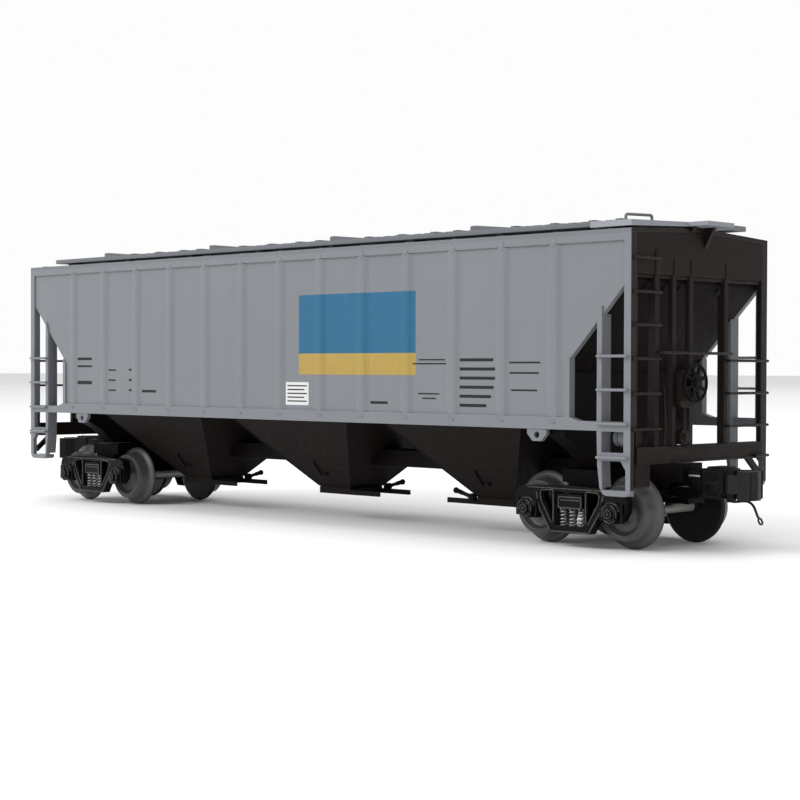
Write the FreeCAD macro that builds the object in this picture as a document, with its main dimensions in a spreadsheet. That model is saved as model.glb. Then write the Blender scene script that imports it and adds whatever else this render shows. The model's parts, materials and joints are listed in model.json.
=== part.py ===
# Three-bay covered hopper car, O gauge display model.
# Row frame: +X to the brake end (end B), near side at -Y, +Z up, Z = 0 at the bottom of the wheel flanges.
import FreeCAD, Part
import Sketcher
import os
import math

from FreeCAD import Vector, Placement, Rotation

doc = FreeCAD.newDocument("HopperCar")

# ---------------------------------------------------------------- driving dimensions
DIMS = [
    ("body_length", 289.0, "over the end panels"),
    ("body_width", 67.0, "over ribs and chords"),
    ("eave_height", 90.0, "top of the side at the roof edge"),
    ("sill_height", 34.3, "underside of the side sill"),
    ("roof_rise", 1.6, "crown above the eave"),
    ("roof_skin", 1.15, "roof thickness"),
    ("sheet_thick", 1.8, "side sheet thickness"),
    ("rib_depth", 0.6, "ribs, chords and posts stand out by this"),
    ("rib_pitch", 19.5, "between side ribs"),
    ("rib_wide", 2.2, "side rib width"),
    ("rib_count", 13, "side ribs"),
    ("chord_deep", 3.3, "top chord face"),
    ("sill_deep", 3.6, "side sill face"),
    ("post_wide", 2.4, "end post on the side"),
    ("stile_in", 132.8, "ladder stile inner edge"),
    ("stile_out", 134.5, "ladder stile outer edge"),
    ("stile_deep", 4.1, "ladder stile depth from the outer face"),
    ("window_in", 123.1, "vertical edge of the end opening"),
    ("stirrup_low", 16.4, "underside of the stirrup"),
    ("panel_low", 77.75, "lower edge of the upper end panel"),
    ("slope_top_x", 142.1, "slope line upper point"),
    ("slope_top_z", 74.9, "slope line upper point"),
    ("slope_grade", 1.064, "rise over run of the slope sheets"),
    ("slope_thick", 1.2, "slope sheet thickness"),
    ("end_thick", 1.6, "end panel thickness"),
    ("endsill_low", 25.1, "underside of the end sill"),
    ("endsill_high", 30.0, "top of the end sill"),
    ("bay_pitch", 73.5, "between hopper bays"),
    ("bay_half_x", 28.3, "hopper mouth half length"),
    ("bay_half_y", 29.5, "hopper mouth half width"),
    ("outlet_half", 7.5, "hopper outlet half size"),
    ("outlet_z", 11.0, "bottom of the hopper funnel"),
    ("wall", 1.4, "hopper wall"),
    ("frame_low", 8.7, "underside of the outlet frame"),
    ("gate_z", 9.3, "underside of the gate plate"),
    ("gate_thick", 0.8, "gate plate"),
    ("rail_end", 21.2, "gate rail reach from the bay centre"),
    ("csill_low", 19.0, "centre sill underside"),
    ("csill_high", 24.5, "centre sill top"),
    ("csill_half", 5.0, "centre sill half width"),
    ("truck_centre", 116.4, "truck pivot from the car centre"),
    ("half_base", 15.5, "half the truck wheelbase"),
    ("axle_z", 10.7, "axle height"),
    ("axle_rad", 1.3, "axle radius"),
    ("tread_rad", 8.1, "tread radius at the outer face"),
    ("tread_root", 8.6, "tread radius at the flange"),
    ("flange_rad", 10.7, "flange radius"),
    ("wheel_back", 14.3, "wheel back face from the centre line"),
    ("wheel_face", 20.5, "wheel outer face from the centre line"),
    ("frame_in", 21.9, "sideframe inner face"),
    ("frame_out", 25.0, "sideframe outer face"),
    ("cap_rad", 2.85, "bearing cap radius"),
    ("bolster_half", 4.4, "truck bolster half width"),
    ("king_rad", 1.5, "kingpin radius"),
    ("king_gap", 0.08, "kingpin running clearance"),
    ("coupler_pivot", 23.5, "coupler pivot from the truck pivot"),
    ("pin_rad", 1.2, "coupler pivot pin"),
    ("pin_gap", 0.07, "pin running clearance"),
    ("head_low", 15.0, "coupler head underside"),
    ("head_high", 24.0, "coupler head top"),
    ("lug", 1.4, "knuckle lug thickness"),
    ("knuckle_pin", 0.8, "knuckle pin radius"),
    ("coupler_rest", 10.0, "swing at rest of the coupler at end A, in degrees"),
    ("board_in", 13.8, "running board inner edge"),
    ("board_out", 22.0, "running board outer edge"),
    ("board_low", 92.0, "running board underside"),
    ("board_thick", 1.3, "running board thickness"),
    ("walk_in", 130.2, "crosswalk inner edge"),
    ("platform_out", 151.5, "end platform edge"),
    ("hatch_pitch", 64.0, "between hatch covers"),
    ("hatch_half", 30.5, "hatch cover half length"),
    ("hatch_wide", 11.7, "hatch cover half width"),
    ("coaming_high", 93.2, "top of the coaming"),
    ("cover_low", 93.35, "underside of the hatch covers"),
    ("hinge_y", 12.3, "hatch hinge line"),
    ("hinge_z", 94.2, "hatch hinge line"),
    ("wire_rad", 0.42, "grab irons"),
    ("bw_y", -8.5, "brake wheel centre"),
    ("bw_z", 47.6, "brake wheel centre"),
    ("bw_rad", 5.25, "brake wheel rim centre radius"),
]
sheet = doc.addObject("Spreadsheet::Sheet", "Dims")
for i, (alias, value, note) in enumerate(DIMS):
    sheet.set("A%d" % (i + 1), note)
    sheet.set("B%d" % (i + 1), str(value))
    sheet.setAlias("B%d" % (i + 1), alias)
doc.recompute()


# ---------------------------------------------------------------- a length that carries its expression
class Q:
    def __init__(self, value, text=None):
        self.v = float(value)
        self.e = text

    def txt(self):
        return self.e if self.e else "(%r)" % self.v

    def mix(self, other, value, sign, swap=False):
        other = q(other)
        a, b = (other, self) if swap else (self, other)
        return Q(value, "(%s %s %s)" % (a.txt(), sign, b.txt()) if (a.e or b.e) else None)

    def __add__(self, o):
        return self.mix(o, self.v + q(o).v, "+")

    __radd__ = __add__

    def __sub__(self, o):
        return self.mix(o, self.v - q(o).v, "-")

    def __rsub__(self, o):
        return self.mix(o, q(o).v - self.v, "-", True)

    def __mul__(self, o):
        return self.mix(o, self.v * q(o).v, "*")

    __rmul__ = __mul__

    def __truediv__(self, o):
        return self.mix(o, self.v / q(o).v, "/")

    def __neg__(self):
        return q(-1) * self


def q(x):
    return x if isinstance(x, Q) else Q(x)


def D(alias):
    return Q(float(sheet.get(alias)), "Dims." + alias)


def order(a, b):
    a, b = q(a), q(b)
    return (a, b) if a.v <= b.v else (b, a)


NODES = []
serial = [0]


def name(stem):
    serial[0] += 1
    return "%s_%d" % (stem, serial[0])


def node(label, obj):
    obj.Label = label
    NODES.append(obj)
    return obj


def put(obj, x, y, z, rot=None):
    x, y, z = q(x), q(y), q(z)
    obj.Placement = Placement(Vector(x.v, y.v, z.v), rot or Rotation())
    for axis, val in (("x", x), ("y", y), ("z", z)):
        if val.e:
            obj.setExpression("Placement.Base." + axis, val.e)
    return obj


def size(obj, **kw):
    for prop, val in kw.items():
        val = q(val)
        setattr(obj, prop, val.v)
        if val.e:
            obj.setExpression(prop, val.e)
    return obj


def box(x0, x1, y0, y1, z0, z1):
    x0, x1 = order(x0, x1)
    y0, y1 = order(y0, y1)
    z0, z1 = order(z0, z1)
    b = doc.addObject("Part::Box", name("Box"))
    size(b, Length=x1 - x0, Width=y1 - y0, Height=z1 - z0)
    return put(b, x0, y0, z0)


ROT = {
    "x": Rotation(Vector(0, 1, 0), 90),
    "y": Rotation(Vector(1, 0, 0), -90),
    "z": Rotation(),
}


def rod(axis, x, y, z, length, rad):
    """Cylinder that starts at (x, y, z) and runs along +axis."""
    c = doc.addObject("Part::Cylinder", name("Rod"))
    size(c, Radius=rad, Height=length)
    return put(c, x, y, z, ROT[axis])


def ball(x, y, z, rad):
    b = doc.addObject("Part::Sphere", name("Ball"))
    size(b, Radius=rad)
    return put(b, x, y, z)


def fuse(parts):
    f = doc.addObject("Part::MultiFuse", name("Fuse"))
    f.Shapes = parts
    return f


def cut(base, tool):
    c = doc.addObject("Part::Cut", name("Cut"))
    c.Base = base
    c.Tool = tool
    return c


def plane(body, role):
    return [o for o in body.Origin.OriginFeatures if o.Role == role][0]


def sketch(body, role, loops=(), circles=(), offset=0):
    sk = body.newObject("Sketcher::SketchObject", name("Sketch"))
    sk.AttachmentSupport = [(plane(body, role), "")]
    sk.MapMode = "FlatFace"
    offset = q(offset)
    sk.AttachmentOffset = Placement(Vector(0, 0, offset.v), Rotation())
    if offset.e:
        sk.setExpression("AttachmentOffset.Base.z", offset.e)
    for loop in loops:
        pts = [(q(a), q(b)) for a, b in loop]
        n = len(pts)
        first = sk.GeometryCount
        sk.addGeometry(
            [
                Part.LineSegment(
                    Vector(pts[i][0].v, pts[i][1].v, 0),
                    Vector(pts[(i + 1) % n][0].v, pts[(i + 1) % n][1].v, 0),
                )
                for i in range(n)
            ],
            False,
        )
        sk.addConstraint(
            [Sketcher.Constraint("Coincident", first + i, 2, first + (i + 1) % n, 1) for i in range(n)]
        )
        for i, (a, b) in enumerate(pts):
            pin(sk, first + i, 1, a, b)
    for a, b, r in circles:
        a, b, r = q(a), q(b), q(r)
        g = sk.addGeometry(Part.Circle(Vector(a.v, b.v, 0), Vector(0, 0, 1), r.v), False)
        pin(sk, g, 3, a, b)
        k = sk.addConstraint(Sketcher.Constraint("Radius", g, r.v))
        if r.e:
            sk.setExpression("Constraints[%d]" % k, r.e)
    return sk


def pin(sk, geo, pos, a, b):
    for kind, val, line in (("DistanceX", a, -2), ("DistanceY", b, -1)):
        if abs(val.v) < 1e-9 and not val.e:
            sk.addConstraint(Sketcher.Constraint("PointOnObject", geo, pos, line))
            continue
        k = sk.addConstraint(Sketcher.Constraint(kind, -1, 1, geo, pos, val.v))
        if val.e:
            sk.setExpression("Constraints[%d]" % k, val.e)


def new_body(label=None):
    b = doc.addObject("PartDesign::Body", name("Body"))
    if label:
        b.Label = label
    return b


def pad(body, role, loops, lo, hi, circles=()):
    """Pad between lo and hi, measured along +Y for XZ_Plane, +X for YZ_Plane and +Z for XY_Plane."""
    lo, hi = order(lo, hi)
    off = -hi if role == "XZ_Plane" else lo
    sk = sketch(body, role, loops, circles, off)
    p = body.newObject("PartDesign::Pad", name("Pad"))
    p.Profile = sk
    size(p, Length=hi - lo)
    body.Tip = p
    return p


def pocket(body, role, loops, lo, hi, circles=()):
    """Pocket the same span: the sketch sits on the far side and the cut runs back over it."""
    lo, hi = order(lo, hi)
    off = -lo if role == "XZ_Plane" else hi
    sk = sketch(body, role, loops, circles, off)
    p = body.newObject("PartDesign::Pocket", name("Pocket"))
    p.Profile = sk
    size(p, Length=hi - lo)
    body.Tip = p
    return p


def rect(a0, a1, b0, b1):
    a0, a1 = order(a0, a1)
    b0, b1 = order(b0, b1)
    return [(a0, b0), (a1, b0), (a1, b1), (a0, b1)]


def prism(role, loops, lo, hi, circles=()):
    b = new_body()
    pad(b, role, loops, lo, hi, circles)
    return b


# ---------------------------------------------------------------- shared values
L2 = D("body_length") / 2
W2 = D("body_width") / 2
EAVE = D("eave_height")
SILL = D("sill_height")
SIDE_OUT = W2
SHEET_OUT = W2 - D("rib_depth")
SIDE_IN = W2 - D("rib_depth") - D("sheet_thick")
CLEAR_IN = SIDE_IN - 0.05
SIDE_TOP = EAVE - D("roof_skin")


def slope_z(x):
    """Height of the slope sheet's lower face at x."""
    return D("slope_top_z") - (D("slope_top_x") - x) * D("slope_grade")


# ---------------------------------------------------------------- side panels
def side_panel(label, s):
    b = new_body()
    loops = [rect(-L2, L2, SILL, SIDE_TOP)]
    post_in = L2 - D("post_wide")
    for e in (1, -1):
        win, si, so = D("window_in"), D("stile_in"), D("stile_out")
        loops.append(
            [
                (e * win, SILL + 3.6),
                (e * win, slope_z(win)),
                (e * si, slope_z(si)),
                (e * si, SILL + 2.6),
                (e * (win + 3.2), SILL + 2.6),
            ]
        )
        loops.append(
            [
                (e * so, SILL + 2.6),
                (e * so, slope_z(so)),
                (e * post_in, slope_z(post_in)),
                (e * post_in, SILL + 2.6),
            ]
        )
    pad(b, "XZ_Plane", loops, s * SIDE_IN, s * SHEET_OUT)
    # top chord and side sill
    sill = [
        (-L2, SILL), (L2, SILL), (L2, SILL + 2.6), (D("window_in") + 3.2, SILL + 2.6), (D("window_in"), SILL + 3.6),
        (-D("window_in"), SILL + 3.6), (-D("window_in") - 3.2, SILL + 2.6), (-L2, SILL + 2.6),
    ]
    pad(b, "XZ_Plane", [sill, rect(-L2, L2, EAVE - D("chord_deep"), SIDE_TOP)], s * SHEET_OUT, s * SIDE_OUT)
    # end posts, ladder stiles and the edge strip of the end opening
    ups = []
    for e in (1, -1):
        ups.append(rect(e * post_in, e * L2, SILL + 2.6, EAVE - D("chord_deep")))
        ups.append(
            [
                (e * D("stile_in"), SILL + 2.6), (e * D("stile_in"), slope_z(D("stile_in")) - 0.4),
                (e * (D("stile_in") + 1.1), slope_z(D("stile_in")) + 3.7), (e * D("stile_out"), slope_z(D("stile_out")) + 2.1),
                (e * D("stile_out"), SILL + 2.6),
            ]
        )
        ups.append(
            [
                (e * (D("window_in") - 1.6), SILL + 3.6), (e * D("window_in"), SILL + 3.6),
                (e * D("window_in"), slope_z(D("window_in"))), (e * (D("window_in") - 1.6), slope_z(D("window_in") - 1.6)),
            ]
        )
    pad(b, "XZ_Plane", ups, s * SHEET_OUT, s * SIDE_OUT)
    # corner stirrups under the sill, each with two openings and a tie between them
    low, deep = D("stirrup_low"), D("stile_deep")
    stirrups, legs, feet = [], [], []
    for e in (1, -1):
        si, so = D("stile_in"), D("stile_out")
        stirrups.append(
            [
                (e * si, SILL), (e * (si + 0.3), SILL - 9.7), (e * (si + 1.1), low + 2.2), (e * (si + 2.1), low + 0.5),
                (e * (si + 3.2), low), (e * (L2 - 1.9), low), (e * (L2 - 0.6), low + 0.6), (e * L2, low + 1.8), (e * L2, SILL),
            ]
        )
        stirrups.append(
            [
                (e * (so + 0.3), low + 1.6), (e * (L2 - 1.7), low + 1.6), (e * (L2 - 1.7), low + 7.3), (e * (L2 - 3.4), low + 9.7),
                (e * (so + 0.1), low + 9.7),
            ]
        )
        stirrups.append([(e * so, low + 12.0), (e * post_in, low + 12.0), (e * post_in, SILL - 0.1), (e * so, SILL - 0.1)])
        legs.append(
            [
                (e * (si + 1.1), low + 2.2), (e * (so + 0.3), low + 2.2), (e * so, SILL - 9.7), (e * so, slope_z(so) - 0.15),
                (e * si, slope_z(si) - 0.15), (e * si, SILL), (e * (si + 0.3), SILL - 9.7),
            ]
        )
        feet.append([(e * (si + 2.1), low + 0.5), (e * (si + 3.2), low), (e * (L2 - 1.9), low), (e * (L2 - 1.7), low + 1.6), (e * (si + 1.9), low + 1.6)])
    pad(b, "XZ_Plane", stirrups, s * (W2 - 1.6), s * SIDE_OUT)
    pad(b, "XZ_Plane", legs, s * (W2 - deep), s * (W2 - 0.3))
    pad(b, "XZ_Plane", feet, s * (W2 - deep), s * (W2 - 0.3))
    # ribs: the first one at the far end, the rest by a linear pattern
    half_span = D("rib_pitch") * (D("rib_count") - 1) / 2
    p = pad(
        b, "XZ_Plane",
        [rect(-half_span - D("rib_wide") / 2, -half_span + D("rib_wide") / 2, SILL + 3.6, EAVE - D("chord_deep"))],
        s * SHEET_OUT, s * SIDE_OUT,
    )
    lp = b.newObject("PartDesign::LinearPattern", name("Ribs"))
    lp.Originals = [p]
    lp.Direction = (plane(b, "X_Axis"), [""])
    size(lp, Length=half_span * 2)
    lp.Occurrences = 13
    lp.setExpression("Occurrences", "Dims.rib_count")
    b.Tip = lp
    return node(label, b)


side_panel("side_panel_left", -1)
side_panel("side_panel_right", 1)

# ---------------------------------------------------------------- roof with coaming and hinge pins
CROWN = EAVE + D("roof_rise")
roof = new_body("roof_shell")
pad(
    roof, "YZ_Plane",
    [[(-W2, SIDE_TOP), (W2, SIDE_TOP), (W2, EAVE), (0, CROWN), (-W2, EAVE)]],
    -L2, L2,
)
pocket(
    roof, "YZ_Plane",
    [[(-CLEAR_IN, SIDE_TOP - 1), (CLEAR_IN, SIDE_TOP - 1), (CLEAR_IN, SIDE_TOP + 0.05), (0, CROWN - D("roof_skin")), (-CLEAR_IN, SIDE_TOP + 0.05)]],
    -L2, L2,
)
HC = [D("hatch_pitch") * k for k in (-1.5, -0.5, 0.5, 1.5)]
HH = D("hatch_half")
mouths = [rect(c - HH + 1.5, c + HH - 1.5, -10, 10) for c in HC]
pad(
    roof, "XY_Plane",
    [rect(HC[0] - HH - 0.9, HC[3] + HH + 0.9, -11.4, 11.4)],
    CROWN - 1.0, D("coaming_high"),
)
pocket(roof, "XY_Plane", mouths, CROWN - 4.0, D("coaming_high"))
extras = [roof]
HY, HZ = D("hinge_y"), D("hinge_z")
for c in HC:
    extras.append(rod("x", c - 27.2, HY, HZ, 54.4, 0.4))
    for dx in (-26.4, 0, 26.4):
        extras.append(box(c + dx - 0.8, c + dx + 0.8, HY - 0.4, HY + 0.4, CROWN - 1.2, HZ))
node("roof_panel", fuse(extras))

# ---------------------------------------------------------------- hatch covers
for i, c in enumerate(HC):
    low = D("cover_low")
    b = new_body()
    pad(b, "XY_Plane", [rect(c - HH, c + HH, -D("hatch_wide"), D("hatch_wide"))], low, low + 0.75)
    ramp = [(c - HH, low + 0.75), (c - HH, low + 2.45), (c - HH + 0.6, low + 2.65), (c - HH + 2.6, low + 2.65), (c - HH + 15.0, low + 1.45), (c - HH + 15.0, low + 0.75)]
    pad(b, "XZ_Plane", [ramp], -D("hatch_wide"), D("hatch_wide"))
    p = pad(b, "XY_Plane", [rect(c - HH + 16.0, c - HH + 18.9, -D("hatch_wide") + 0.4, D("hatch_wide") - 0.4)], low + 0.75, low + 1.45)
    lp = b.newObject("PartDesign::LinearPattern", name("Corrugation"))
    lp.Originals = [p]
    lp.Direction = (plane(b, "X_Axis"), [""])
    size(lp, Length=41.4)
    lp.Occurrences = 10
    b.Tip = lp
    lugs = [b]
    for dx in (-20, 20):
        lugs.append(
            cut(
                fuse([rod("x", c + dx - 3, HY, HZ, 6, 0.8), box(c + dx - 3, c + dx + 3, D("hatch_wide") - 0.4, HY, low + 0.2, HZ + 0.55)]),
                rod("x", c + dx - 4, HY, HZ, 8, 0.47),
            )
        )
    node("hatch_cover_%d" % (i + 1), fuse(lugs))

# ---------------------------------------------------------------- ends, slope sheets, end sills
for tag, s in (("b", 1), ("a", -1)):
    e = new_body()
    face, back = s * L2, s * (L2 - D("end_thick"))
    pad(
        e, "YZ_Plane",
        [[(-CLEAR_IN, D("panel_low")), (CLEAR_IN, D("panel_low")), (CLEAR_IN, SIDE_TOP), (0, CROWN - D("roof_skin") - 0.05), (-CLEAR_IN, SIDE_TOP)]],
        back, face,
    )
    # ladder stile, centre posts and corner leg
    high, top = D("endsill_high"), D("panel_low")
    posts = [
        rect(-s * CLEAR_IN, -s * (CLEAR_IN - 0.7), high, top),
        rect(-s * 22.6, -s * 20.5, high, top),
        rect(-s * 14.4, -s * 12.6, high, top),
        rect(-s * 6.3, -s * 4.3, high, top),
        rect(s * 11.2, s * 13.1, high, top) if s > 0 else rect(-15.3, -12.4, high, top),
        rect(s * 30.3, s * CLEAR_IN, high, top),
    ]
    if s < 0:
        posts.pop(2)
    pad(e, "YZ_Plane", posts, back, face)
    # the stile and the far post are deeper than the panel
    deep_posts = [rect(-s * 22.6, -s * 20.5, high, 73.0)]
    if s > 0:
        deep_posts.append(rect(11.2, 13.1, high, 73.0))
    pad(e, "YZ_Plane", deep_posts, s * (L2 - 2.5), s * (L2 - 0.5))
    node("end_frame_" + tag, e)

    top_x = D("slope_top_x")
    low_z = SILL + 1.05
    low_x = top_x - (D("slope_top_z") - low_z) / D("slope_grade")
    up = D("slope_thick") * 1.46
    lip = L2 - D("end_thick") - 0.05
    loop = [
        (s * low_x, low_z), (s * lip, slope_z(lip)), (s * lip, 78.9), (s * (lip - 1.0), 78.9), (s * (lip - 1.0), slope_z(lip - 1.0) + up),
        (s * (low_x - up / D("slope_grade")), low_z),
    ]
    node("slope_sheet_" + tag, prism("XZ_Plane", [loop], -CLEAR_IN, CLEAR_IN))

    sill = new_body()
    pad(sill, "XY_Plane", [rect(s * (L2 - 3), s * L2, -CLEAR_IN, CLEAR_IN)], D("endsill_low"), D("endsill_high"))
    pad(sill, "XY_Plane", [rect(s * L2, s * (L2 + 0.5), -s * CLEAR_IN, -s * 16.1)], D("endsill_low"), D("endsill_high"))
    pad(
        sill, "YZ_Plane",
        [
            rect(-s * CLEAR_IN, -s * 24.4, 18.9, D("endsill_low")),
            [(s * 23.4, D("endsill_low")), (s * 26.4, D("endsill_low")), (s * CLEAR_IN, 21.2), (s * CLEAR_IN, 18.8)],
        ],
        s * (L2 - 1.3), s * (L2 - 0.1),
    )
    node("end_sill_" + tag, sill)

# ---------------------------------------------------------------- floor pan and hopper bays
BAYS = [-D("bay_pitch"), Q(0), D("bay_pitch")]
floor_z = SILL
pan_x = D("slope_top_x") - (D("slope_top_z") - SILL - 1.05) / D("slope_grade")
pan = [rect(-pan_x, pan_x, -CLEAR_IN, CLEAR_IN)]
for c in BAYS:
    pan.append(rect(c - D("bay_half_x") + 1.2, c + D("bay_half_x") - 1.2, -D("bay_half_y") + 1.2, D("bay_half_y") - 1.2))
node("floor_pan", prism("XY_Plane", pan, floor_z + 0.02, floor_z + 1.0))


def frustum(c, inset, z0, z1):
    """Solid funnel: wide at z1, narrow at z0."""
    w = doc.addObject("Part::Wedge", name("Funnel"))
    run = z1 - z0
    hx, hy, ho = D("bay_half_x") - inset, D("bay_half_y") - inset, D("outlet_half") - inset
    # the wedge's own Y axis runs from the narrow face to the wide one; it is turned to point up
    size(w, Xmin=-ho, Xmax=ho, Ymin=0, Ymax=run, Zmin=-ho, Zmax=ho, X2min=-hx, X2max=hx, Z2min=-hy, Z2max=hy)
    return put(w, c, 0, z0, Rotation(Vector(1, 0, 0), 90))


solids = []
for i, c in enumerate(BAYS):
    outer = frustum(c, 0, D("outlet_z"), SILL)
    inner = frustum(c, D("wall"), D("outlet_z") - 0.0, SILL)
    node("hopper_bay_%d" % (i + 1), cut(outer, inner))
    solids.append(frustum(c, 0, D("outlet_z"), SILL))

# ---------------------------------------------------------------- centre sill and body bolsters
TC = D("truck_centre")
gaps = solids + [box(s * (TC - 3.02), s * (TC + 3.02), -12, 12, 15, 30) for s in (1, -1)]
sill_bar = box(-L2 + 3.05, L2 - 3.05, -D("csill_half"), D("csill_half"), D("csill_low"), D("csill_high"))
node("centre_sill", cut(sill_bar, fuse(gaps)))

bolsters = []
for s in (1, -1):
    prof = [
        (-CLEAR_IN, SILL - 0.1), (-CLEAR_IN, SILL - 1.8), (-22, 27.6), (-17, 22.75), (-5.1, 22.75), (-4.9, 17.7),
        (4.9, 17.7), (5.1, 22.75), (17, 22.75), (22, 27.6), (CLEAR_IN, SILL - 1.8), (CLEAR_IN, SILL - 0.1),
    ]
    beam = cut(prism("YZ_Plane", [prof], s * (TC - 3), s * (TC + 3)), rod("z", s * TC, 0, 17, 5, D("king_rad")))
    # upright web from the bolster to the slope sheet
    x0, x1 = TC + 1.8, TC + 3
    web = [(s * x0, SILL - 0.3), (s * x1, SILL - 0.3), (s * x1, slope_z(x1) - 0.05), (s * x0, slope_z(x0) - 0.05)]
    bolsters.append(fuse([beam, prism("XZ_Plane", [web], -CLEAR_IN, CLEAR_IN)]))
node("body_bolsters", fuse(bolsters))
node(
    "kingpins",
    fuse(
        [
            fuse([rod("z", s * TC, 0, 9.8, 1.2, 2.9), rod("z", s * TC, 0, 11.0, 10.9, D("king_rad"))])
            for s in (1, -1)
        ]
    ),
)

# ---------------------------------------------------------------- outlets: frame, sliding gate, lever
for i, (c, d) in enumerate(zip(BAYS, (1, 1, -1))):
    k = str(i + 1)
    FL, OZ, GZ, GT = D("frame_low"), D("outlet_z"), D("gate_z"), D("gate_thick")
    RE = D("rail_end")
    shell = box(c - 7.6, c + 7.6, -7.6, 7.6, FL, OZ - 0.02)
    hole = box(c - 6, c + 6, -6, 6, FL - 1, OZ + 1)
    slot = box(c - d * 6.9, c + d * 9, -6.75, 6.75, GZ - 0.15, GZ + GT + 0.15)
    ring = cut(shell, fuse([hole, slot]))
    # two rails carry the open gate; the lever's ear and pin stand on the outside of one of them
    rails = [box(c + d * 7.0, c + d * RE, t * 6.8, t * 7.6, FL, FL + 1.6) for t in (1, -1)]
    ear = [
        (c + d * 8.8, FL + 1.2), (c + d * 9.0, 11.3), (c + d * 9.5, 11.9), (c + d * 10.4, 11.9), (c + d * 10.9, 11.3), (c + d * 11.2, FL + 1.2),
    ]
    lug = prism("XZ_Plane", [ear], d * 6.9, d * 7.6)
    pivot = rod("y", c + d * 9.9, 7.0 if d > 0 else -9.2, 11.0, 2.2, 0.5)
    node("outlet_frame_" + k, fuse([ring] + rails + [lug, pivot]))

    plate = box(c - d * 6.7, c + d * 7.9, -6.6, 6.6, GZ, GZ + GT)
    lip = box(c + d * 7.9, c + d * 8.6, -5.4, 5.4, GZ, GZ + GT + 0.9)
    bridge = box(c + d * 7.6, c + d * 8.2, -5.4, 5.4, GZ, GZ + GT)
    node("outlet_gate_" + k, fuse([plate, bridge, lip]))

    lo_y, hi_y = (7.75, 8.95) if d > 0 else (-8.95, -7.75)
    arm = [(c + d * 9.9, 10.45), (c + d * 9.9, 11.6), (c + d * 15.2, 12.95), (c + d * 15.4, 12.05)]
    bar = prism("XZ_Plane", [arm], lo_y + 0.1, hi_y - 0.1)
    eye = rod("y", c + d * 9.9, lo_y, 11.0, 1.2, 1.15)
    mid_y = (lo_y + hi_y) / 2
    grip = doc.addObject("Part::Cylinder", name("Grip"))
    size(grip, Radius=0.74, Height=2.2)
    put(grip, c + d * 13.9, mid_y, 12.1, Rotation(Vector(0, 0, 1), Vector(d * 0.965, 0, 0.262)))
    knob = ball(c + d * 16.6, mid_y, 12.8, 0.98)
    if d < 0:
        knob.Placement = Placement(knob.Placement.Base, Rotation(Vector(0, 0, 1), 180))
    bore = rod("y", c + d * 9.9, lo_y - 0.5, 11.0, 2.2, 0.57)
    node("gate_lever_" + k, cut(fuse([bar, eye, grip, knob]), bore))

# ---------------------------------------------------------------- roof walks
BL, BT = D("board_low"), D("board_thick")
for label, s in (("running_board_left", -1), ("running_board_right", 1)):
    # each board is full length at one end and stops at the crosswalk at the other
    full, short = s * L2, -s * (D("walk_in") - 0.1)
    parts = [box(full, short, s * D("board_in"), s * D("board_out"), BL, BL + BT)]
    for k in range(8):
        x = s * (L2 - 8 - 37.0 * k)
        parts.append(box(x - 1.2, x + 1.2, s * (D("board_in") + 1.0), s * (D("board_out") - 1.2), EAVE + 1.02, BL))
    node(label, fuse(parts))

for tag, s in (("b", 1), ("a", -1)):
    prof = [(-s * W2, EAVE + 0.6), (-s * W2, EAVE + 2.3), (-s * 7.4, BL + 1.1), (-s * 7.4, BL - 0.2)]
    walk = prism("YZ_Plane", [prof], s * D("walk_in"), s * L2)
    plat = box(s * 141.5, s * D("platform_out"), -s * 7.4, s * 5.5, BL - 0.2, BL + 1.1)
    node("crosswalk_" + tag, fuse([walk, plat]))

brackets = []
for s in (1, -1):
    # one deep bracket under the platform, a shallow one beside it and an angle under the crosswalk
    for y, drop, out in ((1.4, 85.8, 3.6), (-5.6, 90.0, 5.0)):
        tri = [(s * (L2 + 0.05), drop), (s * (L2 + 0.05), BL - 0.25), (s * (D("platform_out") - out), BL - 0.25)]
        brackets.append(prism("XZ_Plane", [tri], y * s - 0.6, y * s + 0.6))
    angle = [(-s * 30, CROWN - 1.36), (-s * 7.0, CROWN - 0.25), (s * 0.1, CROWN + 0.06), (s * 0.1, BL - 0.25), (-s * 7.0, BL - 0.25), (-s * 30, EAVE + 0.72)]
    brackets.append(prism("YZ_Plane", [angle], s * (L2 - 2.6), s * (L2 - 0.6)))
node("platform_brackets", fuse(brackets))

# ---------------------------------------------------------------- bent-wire grabs and rungs
WR = D("wire_rad").v


def wire(points, rad=None, closed=False):
    """A round bar bent through the given points."""
    rad = rad or WR
    pts = [Vector(*p) for p in points]
    if closed:
        pts.append(pts[0])
    shape = None
    for a, b in zip(pts[:-1], pts[1:]):
        c = Part.makeCylinder(rad, (b - a).Length, a, b - a)
        shape = c if shape is None else shape.fuse(c)
    for p in pts[1:] if closed else pts[1:-1]:
        shape = shape.fuse(Part.makeSphere(rad, p))
    return shape.removeSplitter()


l2, w2 = L2.v, W2.v
grabs = []
for s in (1, -1):
    for e in (1, -1):
        for z in (55.0, 45.7, 36.3, 27.0):
            y0, y1 = s * (w2 + 0.03), s * (w2 + 0.95)
            grabs.append(wire([(e * 133.6, y0, z), (e * 133.6, y1, z), (e * 143.4, y1, z), (e * 143.4, y0, z)]))
for s in (1, -1):
    x = s * 140.0
    grabs.append(
        wire(
            [
                (x, -s * 30.2, 92.45), (x, -s * 30.2, 93.45), (x, -s * 30.07, 93.85), (x, -s * 29.75, 94.08), (x, -s * 29.3, 94.15),
                (x, -s * 19.1, 94.48), (x, -s * 18.65, 94.42), (x, -s * 18.33, 94.2), (x, -s * 18.2, 93.8), (x, -s * 18.2, 92.82),
            ]
        )
    )
grab_irons = doc.addObject("Part::Feature", "GrabIrons")
grab_irons.Shape = Part.makeCompound(grabs)
node("grab_irons", grab_irons)

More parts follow.
